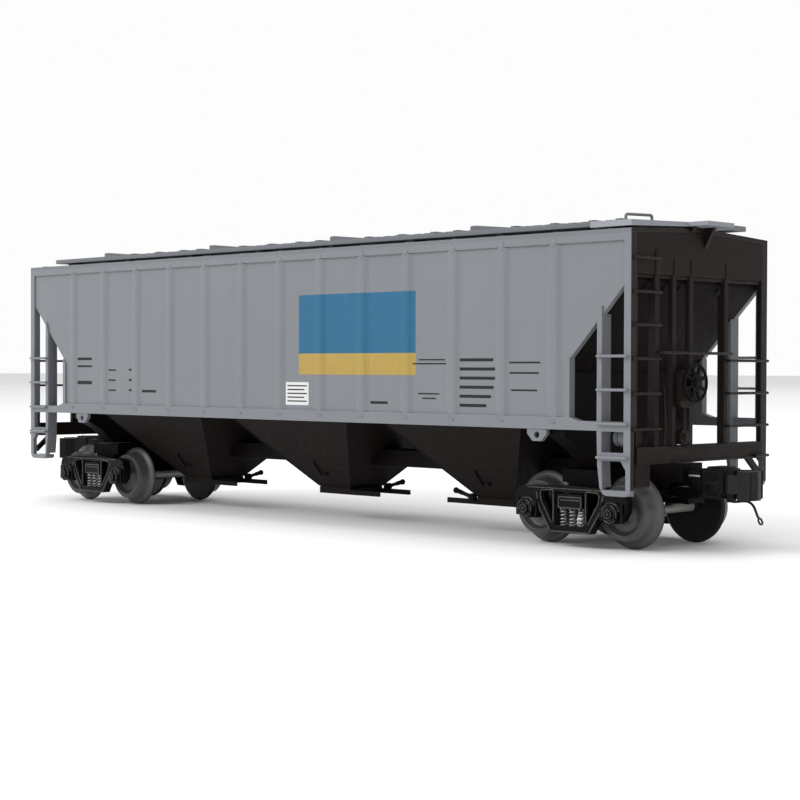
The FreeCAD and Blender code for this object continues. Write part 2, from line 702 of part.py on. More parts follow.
rungs = []
for s in (1, -1):
    x0, x1 = s * (l2 + 0.03), s * (l2 + 1.1)
    for z in (82.0, 72.7, 63.6, 54.3, 44.7, 34.9):
        rungs.append(wire([(x0, -s * 32.5, z), (x1, -s * 32.5, z), (x1, -s * 21.3, z), (x0, -s * 21.3, z)]))
    for z in (54.0, 44.5, 35.0):
        rungs.append(wire([(x0, s * 12.4, z), (x1, s * 12.4, z), (x1, s * 32.4, z), (x0, s * 32.4, z)]))
    rungs.append(wire([(x0, s * 26.6, 25.9), (x1, s * 26.6, 25.9), (x1, s * 32.8, 25.9), (x0, s * 32.8, 25.9)]))
    x2 = s * (l2 + 2.2)
    rungs.append(wire([(x0, -s * 21.1, 56.0), (x2, -s * 21.1, 56.0), (x2, s * 11.7, 56.0), (x0, s * 11.7, 56.0)]))
end_rungs = doc.addObject("Part::Feature", "EndRungs")
end_rungs.Shape = Part.makeCompound(rungs)
node("end_rungs", end_rungs)

# ---------------------------------------------------------------- hand brake
BY, BZ, BR = D("bw_y"), D("bw_z"), D("bw_rad")
case = new_body()
pad(
    case, "YZ_Plane",
    [[(-13.2, 41.6), (-12.4, 40.6), (-6.9, 40.6), (-6.0, 41.4), (-4.6, 44.6), (-4.6, 50.2), (-6.9, 51.3), (-12.4, 51.3), (-13.2, 50.2)]],
    L2 + 0.03, L2 + 2.0,
)
pad(case, "YZ_Plane", [rect(-12.4, -6.4, 42.4, 50.2)], L2 + 2.0, L2 + 2.5)
node("brake_housing", fuse([case, rod("x", L2 + 1.0, BY, BZ, 3.9, 0.55), rod("x", L2 + 1.5, BY, BZ, 1.5, 1.3)]))

rig = [
    wire([(l2 + 0.8, -19.4, 46.6), (l2 + 0.8, -18.9, 40.0), (l2 + 0.8, -18.7, 34.5), (l2 + 0.8, -19.2, 30.6)]),
    # chain and rod down to the bell crank on the sill
    Part.makeBox(0.9, 1.2, 10.0, Vector(l2 + 0.03, -10.0, 30.55))
    .fuse(Part.makeBox(0.9, 0.9, 10.0, Vector(l2 + 0.03, -7.6, 30.55)))
    .fuse(Part.makeCylinder(2.2, 2.2, Vector(l2 - 1.2, -9.4, 32.4), Vector(1, 0, 0)))
    .fuse(Part.makeCylinder(1.0, 2.9, Vector(l2 - 1.2, -9.4, 32.4), Vector(1, 0, 0))),
    # air reservoir lying on the end sill behind the corner post
    Part.makeCylinder(2.4, 6.6, Vector(135.8, -27.7, 32.45), Vector(1, 0, 0)).fuse(Part.makeCylinder(1.9, 7.4, Vector(135.4, -27.7, 32.45), Vector(1, 0, 0))),
]
brake_rigging = doc.addObject("Part::Feature", "BrakeRigging")
brake_rigging.Shape = Part.makeCompound(rig)
node("brake_rigging", brake_rigging)

wheel = new_body()
X0 = L2 + 3.1
sk = sketch(wheel, "XY_Plane", circles=[(X0 + 0.7, BY + BR, 0.45)])
rev = wheel.newObject("PartDesign::Revolution", name("Rim"))
sk2 = None
rev.Profile = sk
# the rim is turned about the wheel's own axis line, drawn in its sketch
g = sk.addGeometry(Part.LineSegment(Vector(X0.v, BY.v, 0), Vector(X0.v + 1.4, BY.v, 0)), True)
pin(sk, g, 1, X0, BY)
sk.addConstraint(Sketcher.Constraint("Horizontal", g))
sk.addConstraint(Sketcher.Constraint("DistanceX", g, 1, g, 2, 1.4))
rev.ReferenceAxis = (sk, ["Axis0"])
rev.Angle = 360
wheel.Tip = rev
put(wheel, 0, 0, BZ)
spokes = []
for k in range(8):
    sp = doc.addObject("Part::Box", name("Spoke"))
    size(sp, Length=0.55, Width=0.8, Height=BR)
    sp.Placement = Placement(Vector(X0.v + 0.42, BY.v, BZ.v), Rotation(Vector(1, 0, 0), 45.0 * k + 20)).multiply(Placement(Vector(0, -0.4, 0), Rotation()))
    spokes.append(sp)
hub = fuse([rod("x", X0, BY, BZ, 1.5, 1.35), rod("x", X0 + 0.3, BY, BZ, 0.8, 2.5)])
node("brake_wheel", cut(fuse([wheel, hub] + spokes), rod("x", X0 - 1, BY, BZ, 4, 0.61)))

# ---------------------------------------------------------------- roping eyes
eyes = []
for s in (1, -1):
    for e in (1, -1):
        x = e * 111.0
        oct_ = [
            (x - 3.6, SILL - 0.02), (x - 3.6, SILL - 1.4), (x - 1.6, SILL - 3.5), (x + 1.6, SILL - 3.5), (x + 3.6, SILL - 1.4), (x + 3.6, SILL - 0.02),
        ]
        eyes.append(prism("XZ_Plane", [oct_], s * (W2 - 1.6), s * (W2 - 0.2), circles=[(x, SILL - 1.7, 0.95)]))
node("roping_eyes", fuse(eyes))


# ---------------------------------------------------------------- trucks
def truck(tag, s):
    AZ, HB = D("axle_z"), D("half_base")

    def TX(u):
        return s * (TC + u)

    # bolster with centre bowl and coupler arm
    B = D("bolster_half")
    beam = new_body()
    pad(beam, "XY_Plane", [rect(TX(-B), TX(B), -24.6, 24.6)], 11.2, 15.2)
    pad(beam, "XY_Plane", [rect(TX(B), TX(D("coupler_pivot") + 3), -4, 4)], 13.0, 14.6)
    bowl = rod("z", TX(0), 0, 15.2, 2.2, 6)
    shelves = []
    for t in (1, -1):
        shelves.append(box(TX(-5.6), TX(5.6), t * 7.3, t * 18.5, 15.1, 18.5))
        shelves.append(box(TX(-7.9), TX(7.9), t * 7.3, t * 18.5, 18.4, 22.3))
    holes = fuse(
        [
            rod("z", TX(0), 0, 10, 9, D("king_rad") + D("king_gap")),
            rod("z", TX(D("coupler_pivot")), 0, 12, 4, D("pin_rad") + D("pin_gap")),
        ]
    )
    node("truck_%s_bolster" % tag, cut(fuse([beam, bowl] + shelves), holes))

    for side, t in (("left", -1), ("right", 1)):
        t = t * 1
        half = [
            (0.0, 17.9), (12.3, 17.5), (17.6, 17.2), (19.3, 16.6), (20.2, 14.4), (20.0, 11.0), (18.6, 8.6), (17.4, 7.9), (13.2, 7.9), (12.2, 9.2),
            (11.0, 10.2), (7.3, 4.3), (0.0, 4.1),
        ]
        outline = half + [(-u, z) for u, z in half[-2:0:-1]]
        opening = [(6.2, 8.4), (6.2, 15.7), (6.5, 16.0), (9.8, 15.8), (10.3, 15.2), (9.9, 13.4), (6.7, 8.0)]
        loops = [[(TX(u), z) for u, z in outline]]
        loops.append([(TX(u), z) for u, z in [(-5.2, 6.3), (5.2, 6.3), (5.2, 15.8), (-5.2, 15.8)]])
        for m in (1, -1):
            loops.append([(TX(m * u), z) for u, z in opening])
        fr = new_body()
        pad(fr, "XZ_Plane", loops, t * D("frame_in"), t * (D("frame_out") - 0.7))
        # raised outer flange around the same openings
        rim = [
            [(TX(u), z) for u, z in outline],
            [(TX(u), z) for u, z in [(-5.45, 5.6), (5.45, 5.6), (5.45, 16.1), (-5.45, 16.1)]],
        ]
        for m in (1, -1):
            rim.append([(TX(m * u), z) for u, z in [(6.1, 7.4), (6.1, 16.0), (6.4, 16.3), (10.1, 16.1), (10.7, 15.3), (10.3, 13.2), (6.7, 7.2)]])
        pad(fr, "XZ_Plane", rim, t * (D("frame_out") - 0.7), t * D("frame_out"))
        bores = fuse([rod("y", TX(m * HB), (t * 24.3 if t < 0 else t * 21), AZ, 3.3, D("axle_rad") + 0.06) for m in (1, -1)])
        node("truck_%s_sideframe_%s" % (tag, side), cut(fr, bores))

    springs = []
    caps = []
    for t in (1, -1):
        for u in (-3.3, 0, 3.3):
            springs.append(rod("z", TX(u), t * 23.2, 6.32, 4.86, 1.3))
        for m in (1, -1):
            y0, y1 = order(t * (D("frame_out") + 0.02), t * (D("frame_out") + 1.6))
            a = rod("y", TX(m * HB), y0, AZ, y1 - y0, D("cap_rad"))
            y0, y1 = order(t * (D("frame_out") + 1.5), t * (D("frame_out") + 2.4))
            c = rod("y", TX(m * HB), y0, AZ, y1 - y0, D("cap_rad") - 1.25)
            bolts = []
            for k in range(3):
                an = math.radians(90 + 120 * k)
                y0, y1 = order(t * (D("frame_out") + 1.5), t * (D("frame_out") + 2.0))
                bolts.append(rod("y", TX(m * HB) + 2.2 * math.cos(an), y0, AZ + 2.2 * math.sin(an), y1 - y0, 0.5))
            caps.append(fuse([a, c] + bolts))
    node("truck_%s_springs" % tag, fuse(springs))
    node("truck_%s_bearing_caps" % tag, fuse(caps))

    for which, m in (("outer", 1), ("inner", -1)):
        parts = [rod("y", TX(m * HB), -24.0, AZ, 48.0, D("axle_rad"))]
        for t in (1, -1):
            w = new_body()
            WB, WF, TR, TT, FR = D("wheel_back"), D("wheel_face"), D("tread_rad"), D("tread_root"), D("flange_rad")
            AR = D("axle_rad") + 0.01
            x = TX(m * HB)
            # half section: distance along the axle against radius
            prof = [
                (WB, AR), (WB, FR - 0.7), (WB + 0.45, FR), (WB + 0.95, FR - 0.1), (WB + 1.7, TT + 0.25), (WB + 2.1, TT),
                (WF - 0.35, TR), (WF, TR - 0.35), (WF, TR - 1.5), (WF - 0.3, TR - 1.7), (WF - 1.7, TR - 2.4), (WF - 1.9, 3.6),
                (WF - 0.9, 2.7), (WF - 0.4, 2.3), (WF - 0.4, AR),
            ]
            sk = sketch(w, "XY_Plane", loops=[[(r, t * y) for y, r in prof]])
            rv = w.newObject("PartDesign::Revolution", name("Turned"))
            rv.Profile = sk
            rv.ReferenceAxis = (sk, ["V_Axis"])
            rv.Angle = 360
            w.Tip = rv
            put(w, x, 0, AZ)
            parts.append(w)
        f = doc.addObject("Part::Compound", name("Wheelset"))
        f.Links = parts
        node("wheelset_%s_%s" % (tag, which), f)

    # coupler: shank with pivot pin, head with guard arm, lugs and knuckle pin; the far one rests swung to one side
    HL, HHI, LG = D("head_low"), D("head_high"), D("lug")
    PX = 139.9
    swing = math.radians(0 if s > 0 else D("coupler_rest").v)

    def turned(a, b):
        """A plan point of the straight coupler, placed at this end and swung about the coupler pivot."""
        a, b = a - PX, b
        u, v = s * a, s * b
        return (
            s * (TC + D("coupler_pivot")) + (u * math.cos(swing) - v * math.sin(swing)),
            Q(u * math.sin(swing) + v * math.cos(swing)),
        )

    def plan(points):
        return [turned(a, b) for a, b in points]

    def pin_rod(a, b, z, length, rad):
        x, y = turned(a, b)
        return rod("z", x, y, z, length, rad)

    block = [(147.0, -4.2), (148.0, -4.7), (154.0, -4.7), (154.9, -4.2), (154.9, 4.2), (153.6, 5.0), (148.0, 4.7), (147.0, 4.2)]
    guard = [(154.0, 0.6), (154.0, 4.9), (157.4, 6.6), (160.2, 7.0), (161.0, 6.4), (160.0, 4.9), (157.4, 4.0), (156.0, 2.2), (155.6, 0.6)]
    ear = [(154.5, -4.7), (157.0, -5.3), (158.4, -4.6), (158.9, -3.4), (158.4, -2.2), (157.0, -1.5), (154.5, -1.2)]
    plate = [(149.0, -3.6), (153.8, -3.6), (153.8, 3.6), (149.0, 3.6)]
    head = prism("XY_Plane", [plan(block)], HL, HHI - 0.6)
    cheek = prism("XY_Plane", [plan(guard)], HL, HHI - 1.0)
    crown = prism("XY_Plane", [plan(plate)], HHI - 0.6, HHI)
    lugs = [
        prism("XY_Plane", [plan(ear)], HL + 0.2, HL + 0.2 + LG),
        prism("XY_Plane", [plan(ear)], HHI - 0.6 - LG, HHI - 0.6),
    ]
    shank = prism("XY_Plane", [plan([(136.9, -2.6), (148.0, -2.6), (148.0, 2.6), (136.9, 2.6)])], 14.9, 17.6)
    pinr = pin_rod(PX, 0, 12.6, 3.0, D("pin_rad"))
    kpin = pin_rod(157.0, -3.4, HL + 0.5, HHI - HL - 1.2, D("knuckle_pin"))
    rivets = [pin_rod(157.0, -3.4, HL - 0.5, 0.9, 1.35), pin_rod(157.0, -3.4, HHI - 0.8, 0.7, 1.2)]
    node("coupler_" + tag, fuse([head, cheek, crown, shank, pinr, kpin] + rivets + lugs))

    barrel = [(157.0, -5.2), (157.9, -4.95), (159.5, -4.3), (159.5, -2.1), (157.9, -1.85), (157.0, -1.6), (155.75, -2.1), (155.2, -3.4), (155.75, -4.7)]
    nose = [
        (159.4, -4.3), (163.2, -4.15), (163.9, -3.6), (164.1, -1.0), (163.6, 1.4), (162.7, 2.4), (161.9, 2.2), (161.5, 0.8), (161.7, -0.8), (161.0, -1.9), (159.4, -2.1),
    ]
    low, high = HL + 0.2 + LG + 0.15, HHI - 0.6 - LG - 0.15
    x, y = turned(157.0, -3.4)
    bore = D("knuckle_pin") + 0.06
    node(
        "knuckle_" + tag,
        fuse(
            [
                prism("XY_Plane", [plan(barrel)], low, high, circles=[(x, y, bore)]),
                prism("XY_Plane", [plan(nose)], HL - 0.1, HHI - 0.95),
            ]
        ),
    )

    # air hose: moulded piece that runs forward under the head and ends in a ring
    def at(a, b, z):
        x, y = turned(a, b)
        return Vector(x.v, y.v, z)

    ZH = HL.v - 0.72
    p = [at(153.4, 1.0, ZH), at(157.2, 1.0, ZH), at(159.9, 1.05, ZH - 0.1), at(161.35, 1.1, 13.1), at(162.15, 1.2, 11.4), at(163.0, 1.3, 9.8)]
    curve = Part.BSplineCurve()
    curve.interpolate(p)
    path = Part.Wire([curve.toShape()])
    start = Part.Wire([Part.makeCircle(0.36, p[0], curve.tangent(curve.FirstParameter)[0])])
    hose = path.makePipeShell([start], True, True)
    hose = hose.fuse(Part.makeCylinder(0.8, HL.v - ZH + 0.35, at(153.4, 1.0, ZH - 0.45), Vector(0, 0, 1)))
    # the end fitting is a long eye in line with the hose
    down = (p[-1] - p[-2]).normalize()
    side = (at(163.5, 2.0, 8.0) - at(163.5, 1.0, 8.0)).normalize()
    wide = down.cross(side).normalize()
    top = p[-1] + down * 0.55
    low_eye = top + down * 0.75
    eye = []
    for k in range(6):
        ang = math.pi * k / 5
        eye.append(top + wide * (0.5 * math.cos(ang)) - down * (0.5 * math.sin(ang)))
    for k in range(6):
        ang = math.pi * k / 5
        eye.append(low_eye - wide * (0.5 * math.cos(ang)) + down * (0.5 * math.sin(ang)))
    hose = hose.fuse(wire([(p.x, p.y, p.z) for p in eye], 0.27, True))
    h = doc.addObject("Part::Feature", "AirHose" + tag.upper())
    h.Shape = hose
    node("air_hose_" + tag, h)


truck("b", 1)
truck("a", -1)

# ---------------------------------------------------------------- recompute, test, write
doc.recompute()
for o in doc.Objects:
    bad = [w for w in o.State if w in ("Invalid", "Error")]
    if bad:
        raise RuntimeError("%s (%s) is %s" % (o.Name, o.Label, ", ".join(bad)))
os.makedirs("parts", exist_ok=True)
for o in NODES:
    shape = o.Shape
    if shape.isNull() or not shape.isValid() or not shape.Solids:
        raise RuntimeError("bad shape: " + o.Label)
    shape.exportStep("parts/%s.step" % o.Label)
print(len(NODES), "nodes written")
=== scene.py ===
import json
import math
import random

import bmesh
import bpy
from mathutils import Matrix, Vector


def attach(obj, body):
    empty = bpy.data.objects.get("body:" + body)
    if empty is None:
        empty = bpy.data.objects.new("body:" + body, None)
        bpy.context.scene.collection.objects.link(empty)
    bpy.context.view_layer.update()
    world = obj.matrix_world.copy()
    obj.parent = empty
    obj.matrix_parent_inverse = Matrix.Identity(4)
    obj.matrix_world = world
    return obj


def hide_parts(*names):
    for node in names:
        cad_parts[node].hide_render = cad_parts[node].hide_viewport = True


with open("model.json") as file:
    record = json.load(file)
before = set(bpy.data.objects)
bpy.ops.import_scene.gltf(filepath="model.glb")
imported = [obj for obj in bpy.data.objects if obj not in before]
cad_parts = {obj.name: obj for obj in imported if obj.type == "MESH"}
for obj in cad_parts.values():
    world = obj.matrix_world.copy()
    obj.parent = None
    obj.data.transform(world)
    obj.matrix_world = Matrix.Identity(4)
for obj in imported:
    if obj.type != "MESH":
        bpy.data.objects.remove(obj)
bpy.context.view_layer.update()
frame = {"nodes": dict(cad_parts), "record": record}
N = frame["nodes"]
RNG = random.Random(11)
SC = bpy.context.scene


def mm(v):
    return v * 0.001


# ------------------------------------------------------------------ camera
def make_camera():
    yaw, pitch, roll = (math.radians(a) for a in (44.51, -1.01, 0.18))
    d = Vector((-math.sin(yaw), math.cos(yaw), 0))
    r = Vector((math.cos(yaw), math.sin(yaw), 0))
    u = Vector((0, 0, 1))
    d2 = d * math.cos(pitch) + u * math.sin(pitch)
    u2 = -d * math.sin(pitch) + u * math.cos(pitch)
    r3 = r * math.cos(roll) + u2 * math.sin(roll)
    u3 = -r * math.sin(roll) + u2 * math.cos(roll)
    cam = bpy.data.cameras.new("view_camera")
    cam.lens = 78.75
    cam.sensor_width = 36.0
    cam.clip_start = 0.01
    cam.clip_end = 40.0
    ob = bpy.data.objects.new("view_camera", cam)
    SC.collection.objects.link(ob)
    m = Matrix.Identity(4)
    for i in range(3):
        m[i][0], m[i][1], m[i][2] = r3[i], u3[i], -d2[i]
    m[0][3], m[1][3], m[2][3] = 0.43379, -0.41741, 0.05123
    ob.matrix_world = m
    SC.camera = ob


make_camera()


# ------------------------------------------------------------------ node helper
class Tree:
    def __init__(self, name):
        self.mat = bpy.data.materials.new(name)
        self.mat.use_nodes = True
        self.nt = self.mat.node_tree
        self.nt.nodes.clear()
        self.out = self.nt.nodes.new("ShaderNodeOutputMaterial")
        self.bsdf = self.nt.nodes.new("ShaderNodeBsdfPrincipled")
        self.nt.links.new(self.bsdf.outputs[0], self.out.inputs[0])
        self.tc = self.nt.nodes.new("ShaderNodeTexCoord")
        self.co = self.tc.outputs["Object"]
        self.geo = self.nt.nodes.new("ShaderNodeNewGeometry")

    def n(self, kind, **props):
        x = self.nt.nodes.new(kind)
        for k, v in props.items():
            setattr(x, k, v)
        return x

    def link(self, a, b):
        self.nt.links.new(a, b)

    def put(self, sock, v):
        if hasattr(v, "is_linked") or hasattr(v, "links"):
            self.link(v, sock)
        else:
            sock.default_value = v

    def m(self, op, a, b=0.0, c=None, clamp=False):
        x = self.n("ShaderNodeMath", operation=op, use_clamp=clamp)
        self.put(x.inputs[0], a)
        self.put(x.inputs[1], b)
        if c is not None:
            self.put(x.inputs[2], c)
        return x.outputs[0]

    def noise(self, scale, detail=3.0, rough=0.55, vec=None, lo=0.0, hi=1.0, distort=0.0):
        x = self.n("ShaderNodeTexNoise")
        x.inputs["Scale"].default_value = scale
        x.inputs["Detail"].default_value = detail
        x.inputs["Roughness"].default_value = rough
        x.inputs["Distortion"].default_value = distort
        self.link(vec or self.co, x.inputs["Vector"])
        if (lo, hi) == (0.0, 1.0):
            return x.outputs["Fac"]
        return self.remap(x.outputs["Fac"], lo, hi)

    def remap(self, v, lo, hi, a=0.0, b=1.0):
        x = self.n("ShaderNodeMapRange", clamp=True)
        self.put(x.inputs["Value"], v)
        x.inputs["From Min"].default_value = lo
        x.inputs["From Max"].default_value = hi
        x.inputs["To Min"].default_value = a
        x.inputs["To Max"].default_value = b
        return x.outputs["Result"]

    def mix(self, fac, a, b, blend="MIX"):
        x = self.n("ShaderNodeMix", data_type="RGBA", blend_type=blend)
        self.put(x.inputs["Factor"], fac)
        ca = [s for s in x.inputs if s.name == "A" and s.type == "RGBA"][0]
        cb = [s for s in x.inputs if s.name == "B" and s.type == "RGBA"][0]
        self.put(ca, a)
        self.put(cb, b)
        return [s for s in x.outputs if s.type == "RGBA"][0]

    def xyz(self, vec=None):
        x = self.n("ShaderNodeSeparateXYZ")
        self.link(vec or self.co, x.inputs[0])
        return x.outputs

    def inside(self, v, lo, hi, soft=0.00003):
        """1 where lo < v < hi, in metres."""
        a = self.remap(v, lo - soft, lo + soft)
        b = self.remap(v, hi - soft, hi + soft, 1.0, 0.0)
        return self.m("MULTIPLY", a, b)


def col(r, g, b, a=1.0):
    """Display colour (0-255) to scene linear."""

    def f(c):
        c = c / 255.0
        return c / 12.92 if c <= 0.04045 else ((c + 0.055) / 1.055) ** 2.4

    return (f(r), f(g), f(b), a)


def scaled(c, k):
    return (min(1, c[0] * k), min(1, c[1] * k), min(1, c[2] * k), 1.0)


def coat(
    name, base, rough=0.45, metallic=0.0, spec=0.5, var=0.07, edge_wear_and_highlight=0.3, edge_wear_highlight_colour=None, bump=0.15,
    peel=2600.0, round_edge=0.22, dust=0.06, dust_colour=(0.30, 0.29, 0.28, 1), streak=0.0, special=None, rough_var=0.08, clear=0.0,
):
    """A painted, moulded or cast surface: broad fading, fine mottling, edge rubbing together with a painted highlight
    on the convex edges, dust on upward faces, micro texture.
    """
    t = Tree(name)
    broad = t.noise(22.0, 3.0, 0.5, lo=0.35, hi=0.65)
    fine = t.noise(800.0, 4.0, 0.6, lo=0.3, hi=0.7)
    c = t.mix(broad, scaled(base, 1 - var), scaled(base, 1 + var * 0.7))
    c = t.mix(t.m("MULTIPLY", fine, 0.35), c, scaled(base, 1 - 1.3 * var))
    if streak:
        st = t.n("ShaderNodeMapping")
        st.inputs["Scale"].default_value = (1.0, 1.0, 0.06)
        t.link(t.co, st.inputs["Vector"])
        lines = t.noise(420.0, 3.0, 0.6, vec=st.outputs[0], lo=0.52, hi=0.75)
        c = t.mix(t.m("MULTIPLY", lines, streak), c, scaled(base, 0.72))
    if special:
        c = special(t, c)
    bev = t.n("ShaderNodeBevel", samples=4)
    bev.inputs["Radius"].default_value = mm(round_edge)
    dot = t.n("ShaderNodeVectorMath", operation="DOT_PRODUCT")
    t.link(bev.outputs[0], dot.inputs[0])
    t.link(t.geo.outputs["Normal"], dot.inputs[1])
    # convex edges get a lighter colour: partly rubbed paint, partly a painted highlight where the edges catch the light
    edge_wear_highlight = t.remap(dot.outputs["Value"], 0.985, 0.86)
    edge_wear_highlight = t.m("MULTIPLY", edge_wear_highlight, t.m("MULTIPLY_ADD", fine, 0.6, 0.4), clamp=True)
    c = t.mix(t.m("MULTIPLY", edge_wear_highlight, edge_wear_and_highlight), c, edge_wear_highlight_colour or scaled(base, 1.9))
    up = t.xyz(t.geo.outputs["Normal"])[2]
    lay = t.m("MULTIPLY", t.remap(up, 0.35, 0.95), t.m("MULTIPLY_ADD", broad, 0.7, 0.3))
    c = t.mix(t.m("MULTIPLY", lay, dust), c, dust_colour)
    t.link(c, t.bsdf.inputs["Base Color"])
    r = t.m("MULTIPLY_ADD", fine, 2 * rough_var, rough - rough_var)
    r = t.m("MULTIPLY_ADD", edge_wear_highlight, -0.12, r, clamp=True)
    t.link(r, t.bsdf.inputs["Roughness"])
    t.bsdf.inputs["Metallic"].default_value = metallic
    t.bsdf.inputs["Specular IOR Level"].default_value = spec
    if clear:
        t.bsdf.inputs["Coat Weight"].default_value = clear
        t.bsdf.inputs["Coat Roughness"].default_value = 0.3
    micro = t.noise(peel, 3.0, 0.6)
    bp = t.n("ShaderNodeBump")
    bp.inputs["Strength"].default_value = bump
    bp.inputs["Distance"].default_value = mm(0.05)
    t.link(micro, bp.inputs["Height"])
    t.link(bev.outputs[0], bp.inputs["Normal"])
    t.link(bp.outputs[0], t.bsdf.inputs["Normal"])
    return t.mat


GREY = col(116, 119, 124)
DARK = col(27, 20, 18)
BLUE = col(28, 92, 125)
YELLOW = col(164, 138, 68)
BLACK = col(10, 10, 10)


def side_marks(t, c):
    """Plain blue field with a plain yellow band on each side, and dark paint on the end faces."""
    x, y, z = t.xyz()
    out = t.m("GREATER_THAN", t.m("ABSOLUTE", y), mm(32.0))
    # the two sides carry the field at the same place along the side as seen from that side
    sx = t.m("MULTIPLY", x, t.m("MULTIPLY", t.m("SIGN", y), -1.0))
    field = t.m("MULTIPLY", t.inside(sx, mm(9.4), mm(62.4)), t.inside(z, mm(49.4), mm(75.2)))
    field = t.m("MULTIPLY", field, out)
    band = t.m("MULTIPLY", field, t.inside(z, mm(49.4), mm(56.2)))
    chips = t.m("MULTIPLY_ADD", t.noise(1500.0, 3.0, 0.6, lo=0.22, hi=0.4), 0.12, 0.88)
    blue = t.mix(t.noise(300.0, 3.0, 0.6, lo=0.3, hi=0.7), scaled(BLUE, 0.95), scaled(BLUE, 1.05))
    yel = t.mix(t.noise(300.0, 3.0, 0.6, lo=0.3, hi=0.7), scaled(YELLOW, 0.95), scaled(YELLOW, 1.03))
    c = t.mix(t.m("MULTIPLY", field, chips), c, blue)
    c = t.mix(t.m("MULTIPLY", band, chips), c, yel)
    tip = t.m("GREATER_THAN", t.m("ABSOLUTE", x), mm(144.44))
    return t.mix(tip, c, scaled(DARK, 0.95))


def roof_marks(t, c):
    x, y, z = t.xyz()
    tip = t.m("GREATER_THAN", t.m("ABSOLUTE", x), mm(144.44))
    return t.mix(tip, c, scaled(DARK, 0.95))


def wheel_bands(t, c):
    """Turned metal: brighter where the rail rubs the tread and the flange root."""
    y = t.m("ABSOLUTE", t.xyz()[1])
    rub_wear_and_highlight = t.inside(y, mm(15.2), mm(20.1), soft=0.0004)
    c = t.mix(t.m("MULTIPLY", rub_wear_and_highlight, 0.7), c, col(92, 92, 91))
    # the inner faces of the wheels are painted near black as painted shade, the axle between them is left bright
    inner_face_painted_shade = t.inside(y, mm(13.0), mm(15.0), soft=0.0001)
    c = t.mix(t.m("MULTIPLY", inner_face_painted_shade, 0.9), c, col(18, 18, 18))
    # bare steel axle, its colour lifted further as a painted highlight
    axle_steel_and_highlight = t.m("LESS_THAN", y, mm(13.0))
    return t.mix(t.m("MULTIPLY", axle_steel_and_highlight, 0.9), c, col(170, 168, 165))


def knuckle_tip_painted_shade(t, c):
    """The pulling face at the tip of the knuckle is painted blacker than its sides: painted shade on the face turned
    away from the light.
    """
    x, y, z = t.xyz()
    tip = t.m("GREATER_THAN", t.m("ABSOLUTE", x), mm(163.35))
    return t.mix(t.m("MULTIPLY", tip, 0.9), c, col(14, 14, 14))


def board_legs_painted_shade(t, c):
    """Under the boards the short legs are painted with the dark of the roof seam: painted shade for the gap beneath the
    boards.
    """
    x, y, z = t.xyz()
    under_board_shade = t.m("LESS_THAN", z, mm(91.97))
    return t.mix(t.m("MULTIPLY", under_board_shade, 0.85), c, col(30, 30, 31))


def tank_paint(t, c):
    """The reservoir behind the corner post is body grey on the side that faces outward."""
    x, y, z = t.xyz()
    nx, ny, nz = t.xyz(t.geo.outputs["Normal"])
    near = t.m("MULTIPLY", t.m("LESS_THAN", y, mm(-24.9)), t.m("LESS_THAN", x, mm(143.0)))
    near = t.m("MULTIPLY", near, t.m("LESS_THAN", nx, 0.5))
    return t.mix(near, c, GREY)
